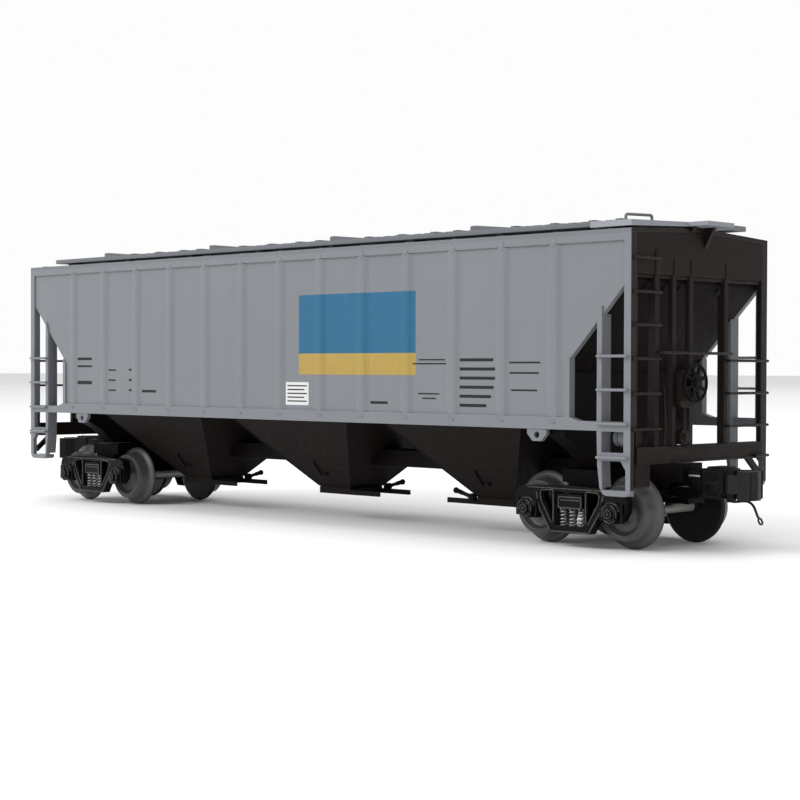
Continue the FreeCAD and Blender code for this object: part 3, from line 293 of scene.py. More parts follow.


# lighter grey for the edges of the grey paint: rubbed paint and painted highlight
PALE_EDGE_WEAR_HIGHLIGHT = col(150, 153, 158)
DUSTG = col(128, 128, 127)
MATS = {
    "body_side": coat("body_side_paint", GREY, 0.46, spec=0.32, var=0.03, edge_wear_and_highlight=0.30, edge_wear_highlight_colour=PALE_EDGE_WEAR_HIGHLIGHT, bump=0.10, dust=0.08, dust_colour=DUSTG, streak=0.08, special=side_marks),
    "body_roof": coat("body_roof_paint", scaled(GREY, 0.9), 0.5, spec=0.3, var=0.04, edge_wear_and_highlight=0.25, edge_wear_highlight_colour=PALE_EDGE_WEAR_HIGHLIGHT, bump=0.10, dust=0.12, dust_colour=DUSTG, special=roof_marks),
    "body_grey": coat("body_grey_paint", scaled(GREY, 0.92), 0.48, spec=0.32, var=0.04, edge_wear_and_highlight=0.28, edge_wear_highlight_colour=PALE_EDGE_WEAR_HIGHLIGHT, bump=0.10, dust=0.10, dust_colour=DUSTG),
    "board_grey": coat("board_grey_paint_with_leg_shade", scaled(GREY, 0.95), 0.48, spec=0.32, var=0.04, edge_wear_and_highlight=0.28, edge_wear_highlight_colour=PALE_EDGE_WEAR_HIGHLIGHT, bump=0.10, dust=0.10, dust_colour=DUSTG, special=board_legs_painted_shade),
    # lighter copy of the body grey for the crosswalks: painted light on the top of the car
    "walk_grey_lit": coat("walk_grey_paint_lit", scaled(GREY, 1.5), 0.48, spec=0.35, var=0.04, edge_wear_and_highlight=0.3, edge_wear_highlight_colour=PALE_EDGE_WEAR_HIGHLIGHT, bump=0.10, dust=0.10, dust_colour=DUSTG),
    "end_dark": coat("end_dark_paint", scaled(DARK, 1.05), 0.5, spec=0.17, var=0.10, edge_wear_and_highlight=0.35, edge_wear_highlight_colour=col(62, 56, 54), bump=0.12, dust=0.05, dust_colour=col(60, 57, 55), streak=0.12),
    # darker copies of the end paint for the slope sheets, the hopper bays and the parts beneath: painted shade under
    # the car
    "slope_dark_shaded": coat("slope_dark_paint_shaded", scaled(DARK, 0.5), 0.55, spec=0.06, var=0.10, edge_wear_and_highlight=0.25, edge_wear_highlight_colour=col(54, 49, 47), bump=0.12, dust=0.03, dust_colour=col(50, 47, 45), streak=0.12),
    "bay_dark_shaded": coat("bay_dark_paint_shaded", scaled(DARK, 0.6), 0.55, spec=0.09, var=0.10, edge_wear_and_highlight=0.28, edge_wear_highlight_colour=col(54, 49, 47), bump=0.15, dust=0.03, dust_colour=col(50, 47, 45), streak=0.10),
    "under_dark": coat("under_dark_paint_shaded", scaled(DARK, 0.35), 0.55, spec=0.09, var=0.10, edge_wear_and_highlight=0.28, edge_wear_highlight_colour=col(50, 45, 43), bump=0.15, dust=0.03, dust_colour=col(46, 43, 41)),
    "rig_dark": coat("rigging_dark_paint", DARK, 0.48, spec=0.17, var=0.10, edge_wear_and_highlight=0.35, edge_wear_highlight_colour=col(62, 56, 54), bump=0.12, dust=0.04, dust_colour=col(60, 57, 55), special=tank_paint),
    "truck_black": coat("truck_black_paint", scaled(BLACK, 0.8), 0.36, spec=0.10, var=0.14, edge_wear_and_highlight=0.6, edge_wear_highlight_colour=col(84, 84, 84), bump=0.30, peel=1900.0, dust=0.02, dust_colour=col(40, 40, 39), round_edge=0.16),
    # lighter metal finish for the thin truck ridges: a painted highlight along the edges of the black frame
    "edge_highlight_metal": coat("painted_edge_highlight", col(58, 58, 57), 0.32, metallic=0.3, spec=0.35, var=0.2, edge_wear_and_highlight=0.8, edge_wear_highlight_colour=col(140, 140, 140), bump=0.25, dust=0.0),
    # darker copy of the truck black for the bolsters: painted shade under the car body
    "shelf_black_shaded": coat("shelf_black_paint_shaded", scaled(BLACK, 0.5), 0.48, spec=0.06, var=0.14, edge_wear_and_highlight=0.5, edge_wear_highlight_colour=col(52, 52, 52), bump=0.35, peel=1900.0, dust=0.02, dust_colour=col(40, 40, 40)),
    "cap_metal": coat("cap_ring_metal", col(40, 40, 40), 0.34, metallic=0.5, spec=0.4, var=0.14, edge_wear_and_highlight=0.7, edge_wear_highlight_colour=col(135, 135, 135), bump=0.25, dust=0.0),
    "wheel_metal": coat("wheel_turned_metal", col(66, 66, 66), 0.42, metallic=0.35, spec=0.35, var=0.12, edge_wear_and_highlight=0.7, edge_wear_highlight_colour=col(140, 140, 140), bump=0.2, dust=0.0, special=wheel_bands),
    "spring_steel": coat("spring_wire", col(140, 139, 137), 0.30, metallic=0.85, spec=0.5, var=0.12, edge_wear_and_highlight=0.3, edge_wear_highlight_colour=col(200, 200, 198), bump=0.10, dust=0.0),
    "bright_steel": coat("bright_strip", col(180, 180, 178), 0.3, metallic=0.9, spec=0.6, var=0.10, edge_wear_and_highlight=0.3, edge_wear_highlight_colour=col(210, 210, 208), bump=0.10, dust=0.0),
    "coupler_black": coat("coupler_metal", col(9, 9, 9), 0.38, metallic=0.1, spec=0.13, var=0.14, edge_wear_and_highlight=0.8, edge_wear_highlight_colour=col(84, 84, 84), bump=0.45, peel=1700.0, dust=0.02, dust_colour=col(40, 40, 40)),
    "knuckle_metal": coat("knuckle_metal", col(34, 34, 35), 0.42, metallic=0.25, spec=0.2, var=0.18, edge_wear_and_highlight=0.6, edge_wear_highlight_colour=col(110, 110, 110), bump=0.6, peel=1500.0, dust=0.02, dust_colour=col(60, 60, 60), special=knuckle_tip_painted_shade),
    "hose_rubber": coat("hose_moulding", col(14, 14, 15), 0.45, spec=0.3, var=0.10, edge_wear_and_highlight=0.4, edge_wear_highlight_colour=col(80, 80, 80), bump=0.15, dust=0.03, dust_colour=col(50, 50, 50)),
    "wire_grey": coat("wire_grey_paint", scaled(GREY, 1.0), 0.45, spec=0.32, var=0.04, edge_wear_and_highlight=0.25, edge_wear_highlight_colour=PALE_EDGE_WEAR_HIGHLIGHT, bump=0.08, dust=0.08, dust_colour=DUSTG, round_edge=0.1),
    "wire_dark": coat("wire_dark_paint", scaled(DARK, 1.2), 0.45, spec=0.22, var=0.08, edge_wear_and_highlight=0.3, edge_wear_highlight_colour=col(70, 64, 62), bump=0.08, dust=0.04, dust_colour=col(60, 57, 55), round_edge=0.1),
    "screw_steel": coat("screw_head", col(70, 70, 72), 0.35, metallic=0.8, spec=0.5, var=0.1, edge_wear_and_highlight=0.5, edge_wear_highlight_colour=col(150, 150, 150), bump=0.1, dust=0.0),
    "print_dark": coat("printed_dark", col(30, 31, 34), 0.5, spec=0.2, var=0.05, edge_wear_and_highlight=0.05, bump=0.06, dust=0.0),
    "print_white": coat("printed_white", col(206, 207, 206), 0.5, spec=0.3, var=0.03, edge_wear_and_highlight=0.05, edge_wear_highlight_colour=col(180, 180, 180), bump=0.06, dust=0.0),
    # near-black finish for the wedges beside the end posts: painted shadow
    "painted_shadow_slit": coat("painted_shadow_slit", col(6, 5, 5), 0.7, spec=0.05, var=0.1, edge_wear_and_highlight=0.0, bump=0.05, dust=0.0),
}

SLOT = {s["node"]: s["material_slot"] for s in frame["record"]["subparts"]}
PAINT = {}
for name in N:
    key = SLOT[name]
    if name.startswith("side_panel"):
        key = "body_side"
    elif name == "roof_panel":
        key = "body_roof"
    elif name.startswith("knuckle"):
        key = "knuckle_metal"
    elif name.startswith("running_board"):
        key = "board_grey"
    # crosswalks take the lighter copy of the grey: painted light
    elif name.startswith("crosswalk"):
        key = "walk_grey_lit"
    # slope sheets and hopper bays take the darker copies of the end paint: painted shade
    elif name.startswith("slope_sheet"):
        key = "slope_dark_shaded"
    elif name.startswith("hopper_bay") or name.startswith("outlet_frame"):
        key = "bay_dark_shaded"
    elif name == "brake_rigging":
        key = "rig_dark"
    # bolsters take the darker copy of the truck black: painted shade
    elif name.startswith("truck") and name.endswith("bolster"):
        key = "shelf_black_shaded"
    PAINT[name] = key


# ------------------------------------------------------------------ rounded edges on the carried-over pieces
SMOOTH = ("wheelset", "grab_irons", "end_rungs", "air_hose", "springs", "kingpins", "bearing_caps", "brake_wheel")
for name, ob in N.items():
    ob.data.materials.clear()
    ob.data.materials.append(MATS[PAINT[name]])
    w = ob.modifiers.new("weld", "WELD")
    w.merge_threshold = 0.0000015
    if any(k in name for k in SMOOTH):
        continue
    d = ob.modifiers.new("flat", "DECIMATE")
    d.decimate_type = "DISSOLVE"
    d.angle_limit = math.radians(1.0)
    b = ob.modifiers.new("edges", "BEVEL")
    b.width = mm(0.28 if name.startswith("side_panel") else 0.16)
    b.segments = 2
    b.limit_method = "ANGLE"
    b.angle_limit = math.radians(38)
    b.use_clamp_overlap = True
    b.harden_normals = True


# ------------------------------------------------------------------ mesh helpers
class Builder:
    """Collects closed pieces into one mesh, lengths in mm."""

    def __init__(self):
        self.bm = bmesh.new()

    def box(self, x0, x1, y0, y1, z0, z1, bevel=0.0, rot=None, pivot=None):
        x0, x1 = sorted((x0, x1))
        y0, y1 = sorted((y0, y1))
        z0, z1 = sorted((z0, z1))
        g = bmesh.ops.create_cube(self.bm, size=1.0)
        vs = g["verts"]
        c = Vector(((x0 + x1) / 2, (y0 + y1) / 2, (z0 + z1) / 2))
        for v in vs:
            v.co = Vector((v.co.x * (x1 - x0), v.co.y * (y1 - y0), v.co.z * (z1 - z0))) + c
        if bevel:
            es = list({e for v in vs for e in v.link_edges})
            r = bmesh.ops.bevel(self.bm, geom=es, offset=bevel, segments=2, affect="EDGES", profile=0.6)
            vs = list({v for f in r["faces"] for v in f.verts} | {v for v in vs if v.is_valid})
        if rot:
            p = Vector(pivot) if pivot else c
            bmesh.ops.transform(self.bm, matrix=Matrix.Translation(p) @ rot @ Matrix.Translation(-p), verts=vs)
        return vs

    def prism(self, pts, axis, lo, hi, bevel=0.0):
        """Closed prism: pts are 2D in the plane normal to axis (x: y,z; y: x,z; z: x,y)."""
        lo, hi = sorted((lo, hi))

        def at(a, b, c):
            return {"x": Vector((c, a, b)), "y": Vector((a, c, b)), "z": Vector((a, b, c))}[axis]

        v0 = [self.bm.verts.new(at(a, b, lo)) for a, b in pts]
        v1 = [self.bm.verts.new(at(a, b, hi)) for a, b in pts]
        n = len(pts)
        fs = [self.bm.faces.new(v0[::-1]), self.bm.faces.new(v1)]
        for i in range(n):
            fs.append(self.bm.faces.new((v0[i], v0[(i + 1) % n], v1[(i + 1) % n], v1[i])))
        if bevel:
            es = list({e for f in fs for e in f.edges})
            bmesh.ops.recalc_face_normals(self.bm, faces=fs)
            bmesh.ops.bevel(self.bm, geom=es, offset=bevel, segments=2, affect="EDGES", profile=0.6)
        return v0 + v1

    def turned(self, origin, axis, profile, seg=20):
        """Closed turned piece about an axis: profile is (along, radius), starting and ending at radius 0 or closed by caps."""
        o = Vector(origin)
        a = Vector(axis).normalized()
        s = a.orthogonal().normalized()
        t = a.cross(s)
        rings = []
        for h, r in profile:
            if r <= 1e-6:
                rings.append([self.bm.verts.new(o + a * h)])
            else:
                rings.append(
                    [self.bm.verts.new(o + a * h + (s * math.cos(2 * math.pi * k / seg) + t * math.sin(2 * math.pi * k / seg)) * r) for k in range(seg)]
                )
        for p, q_ in zip(rings[:-1], rings[1:]):
            for k in range(seg):
                k2 = (k + 1) % seg
                if len(p) == 1 and len(q_) == 1:
                    continue
                if len(p) == 1:
                    self.bm.faces.new((p[0], q_[k], q_[k2]))
                elif len(q_) == 1:
                    self.bm.faces.new((p[k], q_[0], p[k2]))
                else:
                    self.bm.faces.new((p[k], q_[k], q_[k2], p[k2]))
        if len(rings[0]) > 1:
            self.bm.faces.new(rings[0])
        if len(rings[-1]) > 1:
            self.bm.faces.new(rings[-1][::-1])

    def tube(self, pts, rad, seg=10, closed=False):
        pts = [Vector(p) for p in pts]
        n = len(pts)
        rings = []
        up = None
        for i, p in enumerate(pts):
            if closed:
                d = (pts[(i + 1) % n] - pts[i - 1]).normalized()
            else:
                d = (pts[min(i + 1, n - 1)] - pts[max(i - 1, 0)]).normalized()
            if up is None:
                up = d.orthogonal().normalized()
            up = (up - d * up.dot(d)).normalized()
            side = d.cross(up)
            rings.append([self.bm.verts.new(p + (up * math.cos(2 * math.pi * k / seg) + side * math.sin(2 * math.pi * k / seg)) * rad) for k in range(seg)])
        pairs = list(zip(rings[:-1], rings[1:])) + ([(rings[-1], rings[0])] if closed else [])
        for p, q_ in pairs:
            for k in range(seg):
                k2 = (k + 1) % seg
                self.bm.faces.new((p[k], p[k2], q_[k2], q_[k]))
        if not closed:
            self.bm.faces.new(rings[0][::-1])
            self.bm.faces.new(rings[-1])

    def bolt(self, x, y, z, axis, r=0.42, h=0.32, sides=6):
        """Hex head with a slightly domed top."""
        self.turned((x, y, z), axis, [(0, r), (h * 0.75, r), (h, r * 0.78), (h, 0)], seg=sides)

    def rivet(self, x, y, z, axis, r=0.3):
        self.turned((x, y, z), axis, [(0, r), (r * 0.35, r * 0.86), (r * 0.58, r * 0.45), (r * 0.65, 0)], seg=8)

    def finish(self, name, mat, body, smooth=35.0, slot=None, replaces=None):
        bmesh.ops.recalc_face_normals(self.bm, faces=self.bm.faces)
        bmesh.ops.scale(self.bm, vec=(0.001, 0.001, 0.001), verts=self.bm.verts)
        me = bpy.data.meshes.new(name)
        self.bm.to_mesh(me)
        self.bm.free()
        me.materials.append(MATS[mat])
        ob = bpy.data.objects.new(name, me)
        SC.collection.objects.link(ob)
        for p in me.polygons:
            p.use_smooth = True
        me.set_sharp_from_angle(angle=math.radians(smooth))
        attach(ob, body)
        if replaces:
            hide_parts(*replaces)
        return ob


Y_OUT, Y_SHEET = 33.5, 32.9
RIBS = [19.5 * k for k in range(-6, 7)]

# ------------------------------------------------------------------ side details
b = Builder()
for s in (-1, 1):
    for x in RIBS:
        # rounded cap where a rib runs up onto the chord
        y = s * Y_OUT
        b.turned((x, y - s * 0.3, 87.0), (0, s, 0), [(0, 1.25), (0.42, 1.1), (0.6, 0.7), (0.68, 0)], seg=16)
        # hooked foot at the sill
        b.prism([(x - 1.3, 37.0), (x + 1.0, 36.6), (x + 1.0, 36.1), (x - 0.2, 36.1), (x - 1.3, 36.5)], "y", y - s * 0.05, y + s * 0.22)
    # bolt heads where the rungs meet the posts
    for e in (1, -1):
        for z in (55.0, 45.7, 36.3, 27.0):
            for xx in (133.6, 143.4):
                b.turned((e * xx, s * (Y_OUT), z), (0, s, 0), [(0, 0.62), (0.22, 0.55), (0.3, 0.3), (0.3, 0)], seg=12)
b.finish("side_rib_caps_and_feet", "body_side", "car_body", slot="body_grey")

# pressed rib mouldings: soft shoulders either side of a flat crown
b = Builder()
for s in (-1, 1):
    for x in RIBS:
        prof = [(-2.9, 0.0), (-2.4, 0.07), (-1.9, 0.28), (-1.5, 0.5), (-1.2, 0.63), (1.2, 0.63), (1.5, 0.5), (1.9, 0.28), (2.4, 0.07), (2.9, 0.0)]
        pts = [(x + u, s * (Y_SHEET + v + 0.01)) for u, v in prof] + [(x + 2.9, s * (Y_SHEET - 0.1)), (x - 2.9, s * (Y_SHEET - 0.1))]
        b.prism(pts, "z", 37.95, 86.6)
b.finish("side_rib_mouldings", "body_side", "car_body", smooth=50.0, slot="body_grey")

# ------------------------------------------------------------------ printed marks: plain bars only
b = Builder()
w = Builder()
for s in (-1, 1):
    y0, y1 = s * (Y_SHEET + 0.0), s * (Y_SHEET + 0.035)

    def bar(bld, x0, x1, z0, z1, lift=0.0):
        bld.box(-s * x0, -s * x1, y0 + s * lift, y1 + s * lift, z0, z1)

    # reporting block: two heavy rules
    bar(b, -114.4, -105.2, 54.2, 55.2)
    bar(b, -114.4, -105.2, 51.6, 52.3)
    bar(b, -114.4, -105.2, 45.2, 46.5)
    for z in (50.3, 46.6, 42.9):
        bar(b, -96.0, -90.4, z, z + 0.55)
        bar(b, -82.4, -79.9, z, z + 0.8)
    bar(b, -74.6, -66.4, 42.6, 43.5)
    for z, x0, x1 in ((53.6, 80.4, 94.0), (50.9, 80.4, 94.8), (48.2, 80.4, 95.2), (45.5, 80.4, 94.2), (42.8, 80.4, 93.2), (40.1, 80.4, 91.4)):
        bar(b, x0, x1, z, z + 0.9)
    for z, x0, x1 in ((53.9, 63.8, 74.6), (52.7, 60.6, 76.0), (43.6, 63.6, 72.4), (42.2, 65.4, 71.0)):
        bar(b, x0, x1, z, z + 0.42)
    for z, x0, x1 in ((53.0, 99.6, 112.0), (50.0, 100.4, 111.4), (45.0, 101.0, 110.8)):
        bar(b, x0, x1, z, z + 0.5)
    bar(b, 42.8, 50.4, 40.4, 41.2)
    bar(w, 3.1, 14.2, 39.4, 46.9, 0.0)
    for k in range(5):
        bar(b, 4.0, 13.3 - (k % 2) * 1.2, 40.5 + 1.25 * k, 40.9 + 1.25 * k, 0.03)
b.finish("side_printed_rules", "print_dark", "car_body", slot="body_grey")
w.finish("side_blank_labels", "print_white", "car_body", slot="body_grey")

# ------------------------------------------------------------------ roof: seams, walk tread, hatch hardware
b = Builder()
for k in range(-7, 8):
    x = 19.5 * k
    for s in (-1, 1):
        y0, y1 = s * 24.5, s * 33.1
        z0, z1 = 91.6 - 1.6 * 24.5 / 33.5, 91.6 - 1.6 * 33.1 / 33.5
        b.prism([(y0, z0 - 0.1), (y1, z1 - 0.1), (y1, z1 + 0.22), (y0, z0 + 0.22)], "x", x - 0.3, x + 0.3)
        y0 = s * 12.2
        z0 = 91.6 - 1.6 * 12.2 / 33.5
        b.prism([(y0, z0 - 0.1), (s * 24.5, 91.6 - 1.6 * 24.5 / 33.5 - 0.1), (s * 24.5, 91.6 - 1.6 * 24.5 / 33.5 + 0.22), (y0, z0 + 0.22)], "x", x - 0.3, x + 0.3)
b.finish("roof_seam_caps", "body_roof", "car_body", slot="body_grey")

b = Builder()
BI, BO = 13.8, 22.0
for s in (-1, 1):
    full, short = s * 144.5, -s * 130.1
    lo, hi = sorted((full, short))
    n = int((hi - lo) / 1.9)
    for k in range(n + 1):
        x = lo + 0.45 + (hi - lo - 0.9) * k / n
        b.box(x - 0.28, x + 0.28, s * (BI + 0.5), s * (BO - 0.5), 93.25, 93.5)
    for k in range(5):
        y = s * (BI + 0.35 + (BO - BI - 0.7) * k / 4)
        b.box(lo + 0.2, hi - 0.2, y - 0.22, y + 0.22, 93.25, 93.55)
b.finish("roof_walk_tread", "body_grey", "car_body")

for i, c in enumerate((-96.0, -32.0, 32.0, 96.0)):
    b = Builder()
    # hold-down battens across the cover, each with a toggle at the near edge
    for dx in (-12.2, 3.2, 17.9, 27.7):
        x = c + dx
        b.box(x - 0.55, x + 0.55, -11.3, 11.3, 94.65, 95.1, bevel=0.12)
        b.box(x - 0.9, x + 0.9, -12.6, -11.2, 93.6, 95.0, bevel=0.2)
        b.turned((x - 1.0, -12.1, 94.3), (1, 0, 0), [(0, 0), (0, 0.4), (2.0, 0.4), (2.0, 0)], seg=10)
    b.finish("hatch_hold_downs_%d" % (i + 1), "body_grey", "hatch_%d" % (i + 1))

# ------------------------------------------------------------------ end details
b = Builder()
d = Builder()
for s in (1, -1):
    x = s * 144.5

    def disc(y, z, r=0.6, bld=b):
        bld.turned((x, s * y, z), (s, 0, 0), [(0, r), (0.22, r * 0.87), (0.3, r * 0.5), (0.3, 0)], seg=12)

    for z in (82.0, 72.7, 63.6, 54.3, 44.7, 34.9):
        for y in (-32.5, -21.4):
            disc(y, z)
    for z in (54.0, 44.5, 35.0):
        for y in (12.3, 32.4):
            disc(y, z)
    # the ladder stile and the posts lap up over the upper panel
    b.box(x - s * 0.1, x + s * 0.22, -s * 22.6, -s * 20.5, 77.6, 84.6, bevel=0.06)
    for y in (-13.5, -5.3, 12.1):
        b.box(x - s * 0.1, x + s * 0.2, s * (y - 0.35), s * (y + 0.35), 77.6, 82.2, bevel=0.06)
    # lower angle of the panel, behind the posts
    b.box(x - s * 1.4, x - s * 0.5, -30.2, 30.2, 76.7, 77.8, bevel=0.1)
    # sill edge angles, top and bottom
    b.box(x - s * 0.05, x + s * 0.3, -15.9 * s, 31.0 * s, 29.2, 29.9, bevel=0.08)
    b.box(x - s * 0.05, x + s * 0.3, -15.9 * s, 31.0 * s, 25.2, 25.8, bevel=0.08)
    # thin wedges where the posts meet the slope sheet, near black: painted shadow beside each post
    for y in (-23.6, -14.9, -7.7, 11.3):
        q = s * y
        d.prism([(s * 141.4, 76.4), (s * 141.4, 73.8), (s * 140.4, 72.4), (s * 142.9, 75.9), (s * 142.9, 76.4)], "y", q - 0.28, q + 0.28)
b.finish("end_bolt_heads_and_laps", "end_dark", "car_body")
d.finish("slope_sheet_shadow_wedges", "painted_shadow_slit", "car_body", slot="end_dark")

# chain from the hand brake down to the bell crank
b = Builder()
for k in range(9):
    z = 35.2 + 0.95 * k
    c = Vector((145.6, -8.2, z))
    ring = []
    for j in range(12):
        a = 2 * math.pi * j / 12
        u = 0.42 * math.cos(a)
        v = 0.62 * math.sin(a)
        ring.append(c + (Vector((0, u, v)) if k % 2 == 0 else Vector((u, 0, v))))
    b.tube(ring, 0.14, seg=6, closed=True)
for k in range(6):
    a = math.pi / 3 * k + 0.3
    b.bolt(145.5, -9.4 + 1.55 * math.cos(a), 32.4 + 1.55 * math.sin(a), (1, 0, 0), r=0.26, h=0.22)
# bands of the reservoir
for xx in (137.2, 141.2):
    ring = [Vector((xx, -27.7 + 2.45 * math.cos(2 * math.pi * j / 28), 32.45 + 2.45 * math.sin(2 * math.pi * j / 28))) for j in range(28)]
    b.tube(ring, 0.22, seg=6, closed=True)
b.finish("brake_chain_and_bands", "rig_dark", "car_body", slot="end_dark")

# hopper bays: flanges along the corners, a pin and a knob near each outlet
b = Builder()
for c in (-73.5, 0.0, 73.5):
    for ex in (1, -1):
        for ey in (1, -1):
            p0 = Vector((c + ex * 28.2, ey * 29.4, 34.2))
            p1 = Vector((c + ex * 7.6, ey * 7.6, 11.2))
            b.tube([p0, p1], 0.24, seg=8)
    for ey in (1, -1):
        def on(x, z, out=0.0, ey=ey, c=c):
            return Vector((c + x * -ey, ey * (7.5 + (z - 11) * 22 / 23.3), z)) + Vector((0, ey * 0.73, -0.69)) * out

        b.tube([on(-2.0, 19.5, 0.2), on(-2.1, 17.2, 0.45), on(-2.3, 15.1, 0.35)], 0.28, seg=8)
        n = Vector((0, ey * 0.73, -0.69))
        b.turned(on(-2.0, 19.7, -0.1), n, [(0, 0.5), (0.5, 0.5), (0.65, 0.35), (0.7, 0)], seg=10)
        b.turned(on(0.5, 15.8, -0.1), n, [(0, 0.62), (0.6, 0.62), (0.85, 0.4), (0.9, 0)], seg=12)
        b.tube([on(-0.4, 16.3, 0.25), on(1.3, 15.3, 0.25)], 0.2, seg=6)
# the flanges and pins take the darkest copy of the end paint: painted shade
b.finish("hopper_flanges_and_pins", "under_dark", "car_body")

# ------------------------------------------------------------------ trucks
for tag, s in (("b", 1), ("a", -1)):
    tc = 116.4

    def X(u, s=s):
        return s * (tc + u)

    # wound springs in place of the plain bars
    b = Builder()
    for t in (1, -1):
        for u in (-3.3, 0, 3.3):
            pts = []
            turns, z0, z1 = 4.6, 6.62, 10.9
            for k in range(int(turns * 18) + 1):
                f = k / (turns * 18)
                a = 2 * math.pi * turns * f
                # the end turns close up
                g = f + 0.035 * math.sin(2 * math.pi * f * 1.0) * -1
                pts.append((X(u) + 1.0 * math.cos(a), t * 23.2 + 1.0 * math.sin(a), z0 + (z1 - z0) * g))
            b.tube(pts, 0.3, seg=8)
            b.turned((X(u), t * 23.2, 6.32), (0, 0, 1), [(0, 0), (0, 1.28), (0.3, 1.28), (0.3, 0)], seg=18)
    b.finish("truck_%s_coil_springs" % tag, "spring_steel", "truck_" + tag, smooth=60, replaces=["truck_%s_springs" % tag])

    # bolster ends, journal ribs, frame bosses
    b = Builder()
    cmet = Builder()
    # the ridges go into a mesh of their own with the lighter finish: a painted highlight on the black frame edges
    rub_wear_and_highlight = Builder()
    for t in (1, -1):
        yo = t * 24.55
        yf = t * 24.98
        b.box(X(-4.25), X(4.25), t * 24.2, yf - t * 0.25, 11.3, 14.9)
        for z0, z1 in ((14.35, 14.75), (11.2, 11.6)):
            rub_wear_and_highlight.box(X(-4.3), X(4.3), yo, yf, z0, z1, bevel=0.07)
        rub_wear_and_highlight.box(X(-4.3), X(-3.9), yo, yf, 11.2, 14.75, bevel=0.07)
        rub_wear_and_highlight.box(X(3.9), X(4.3), yo, yf, 11.2, 14.75, bevel=0.07)
        rub_wear_and_highlight.box(X(-3.6), X(3.6), yo, yf - t * 0.1, 13.5, 13.8, bevel=0.07)
        b.box(X(-5.3), X(5.3), t * 22.2, t * 25.1, 5.6, 6.3, bevel=0.12)
        b.box(X(-4.6), X(4.6), t * 24.2, yf, 15.0, 15.35, bevel=0.08)
        # pressed ridge along the top chord and the lower chord
        rub_wear_and_highlight.box(X(-15.5), X(15.5), t * 24.95, t * 25.25, 16.75, 17.05, bevel=0.08)
        rub_wear_and_highlight.box(X(-6.6), X(6.6), t * 24.95, t * 25.2, 4.35, 4.7, bevel=0.08)
        for m in (1, -1):
            xc = X(m * 15.5)
            # edge ridges along the diagonal member and round the opening
            rub_wear_and_highlight.tube([(X(m * 7.0), t * 25.0, 4.6), (X(m * 11.2), t * 25.0, 10.9), (X(m * 12.3), t * 25.0, 15.6)], 0.2, seg=6)
            rub_wear_and_highlight.tube([(X(m * 6.0), t * 25.0, 7.3), (X(m * 6.0), t * 25.0, 16.1), (X(m * 6.4), t * 25.0, 16.45), (X(m * 10.2), t * 25.0, 16.25), (X(m * 10.85), t * 25.0, 15.3), (X(m * 10.45), t * 25.0, 13.2), (X(m * 6.7), t * 25.0, 7.0)], 0.17, seg=6)
            # turned rings on the bearing cap
            for r, yy, w in ((2.45, 26.62, 0.2), (1.75, 26.62, 0.14), (1.15, 27.4, 0.16)):
                ring = [Vector((xc + r * math.cos(2 * math.pi * j / 28), t * yy, 10.7 + r * math.sin(2 * math.pi * j / 28))) for j in range(28)]
                cmet.tube(ring, w, seg=6, closed=True)
            cmet.turned((xc, t * 27.38, 10.7), (0, t, 0), [(0, 0.5), (0.2, 0.5), (0.32, 0.3), (0.34, 0)], seg=12)
            # rolled ribs of the bearing adapter over the cap
            for k in range(3):
                yy = t * (25.2 + 0.45 * k)
                pts = []
                for j in range(15):
                    a = math.radians(15 + 150 * j / 14)
                    pts.append((xc + 3.15 * math.cos(a), yy, 10.7 + 3.15 * math.sin(a)))
                cmet.tube(pts, 0.17, seg=6)
            # pedestal jaws either side of the cap
            b.box(xc + 3.1, xc + 3.9, t * 24.9, t * 25.9, 8.6, 13.6, bevel=0.15)
            b.box(xc - 3.9, xc - 3.1, t * 24.9, t * 25.9, 8.6, 13.6, bevel=0.15)
            b.bolt(X(m * 8.6), t * 25.0, 16.75, (0, t, 0), r=0.3, h=0.3)
            b.bolt(X(m * 6.9), t * 25.0, 5.6, (0, t, 0), r=0.36, h=0.34)
            b.bolt(X(m * 18.9), t * 25.0, 15.2, (0, t, 0), r=0.34, h=0.28)
            # brake beam hanger and shoe at each wheel
            u = m * 6.55
            b.box(X(u) - 0.35, X(u) + 0.35, t * 15.6, t * 19.6, 8.0, 12.6, bevel=0.15)
    # brake beams across the truck
    for m in (1, -1):
        b.tube([(X(m * 6.0), -19.0, 9.2), (X(m * 5.4), 0, 8.6), (X(m * 6.0), 19.0, 9.2)], 0.55, seg=10)
    # rivets on the shelf block
    for t in (1, -1):
        for u in (-6.6, -2.2, 2.2, 6.6):
            b.rivet(X(u), t * 18.5, 20.4, (0, t, 0), r=0.45)
    b.finish("truck_%s_frame_details" % tag, "truck_black", "truck_" + tag)
    rub_wear_and_highlight.finish("truck_%s_rubbed_ridges" % tag, "edge_highlight_metal", "truck_" + tag, slot="truck_black")
    cmet.finish("truck_%s_cap_rings" % tag, "cap_metal", "truck_" + tag, slot="truck_black")

    # pocket block behind the coupler head, with its bright wear strip
    w = 0.0 if tag == "b" else math.radians(10)
    px = s * (tc + 23.5)

    def cp(a, bb, z, w=w, px=px, s=s):
        u, v = s * (a - 139.9), s * bb
        return Vector((px + u * math.cos(w) - v * math.sin(w), u * math.sin(w) + v * math.cos(w), z))

    def block(bld, pts, z0, z1, bevel=0.0):
        bld.prism([(cp(a, bb, 0).x, cp(a, bb, 0).y) for a, bb in pts], "z", z0, z1, bevel=bevel)

    b = Builder()
    block(b, [(142.9, -4.0), (147.2, -4.3), (147.2, 4.3), (142.9, 4.0)], 17.5, 22.9, bevel=0.25)
    block(b, [(149.4, -4.75), (153.2, -4.75), (153.2, -4.5), (149.4, -4.5)], 17.2, 21.6, bevel=0.08)
    for a in (149.0, 153.6):
        for z in (16.3, 22.4):
            p = cp(a, -4.7, z)
            q = cp(a, -5.7, z)
            b.turned(p, q - p, [(0, 0.45), (0.3, 0.4), (0.42, 0)], seg=10)
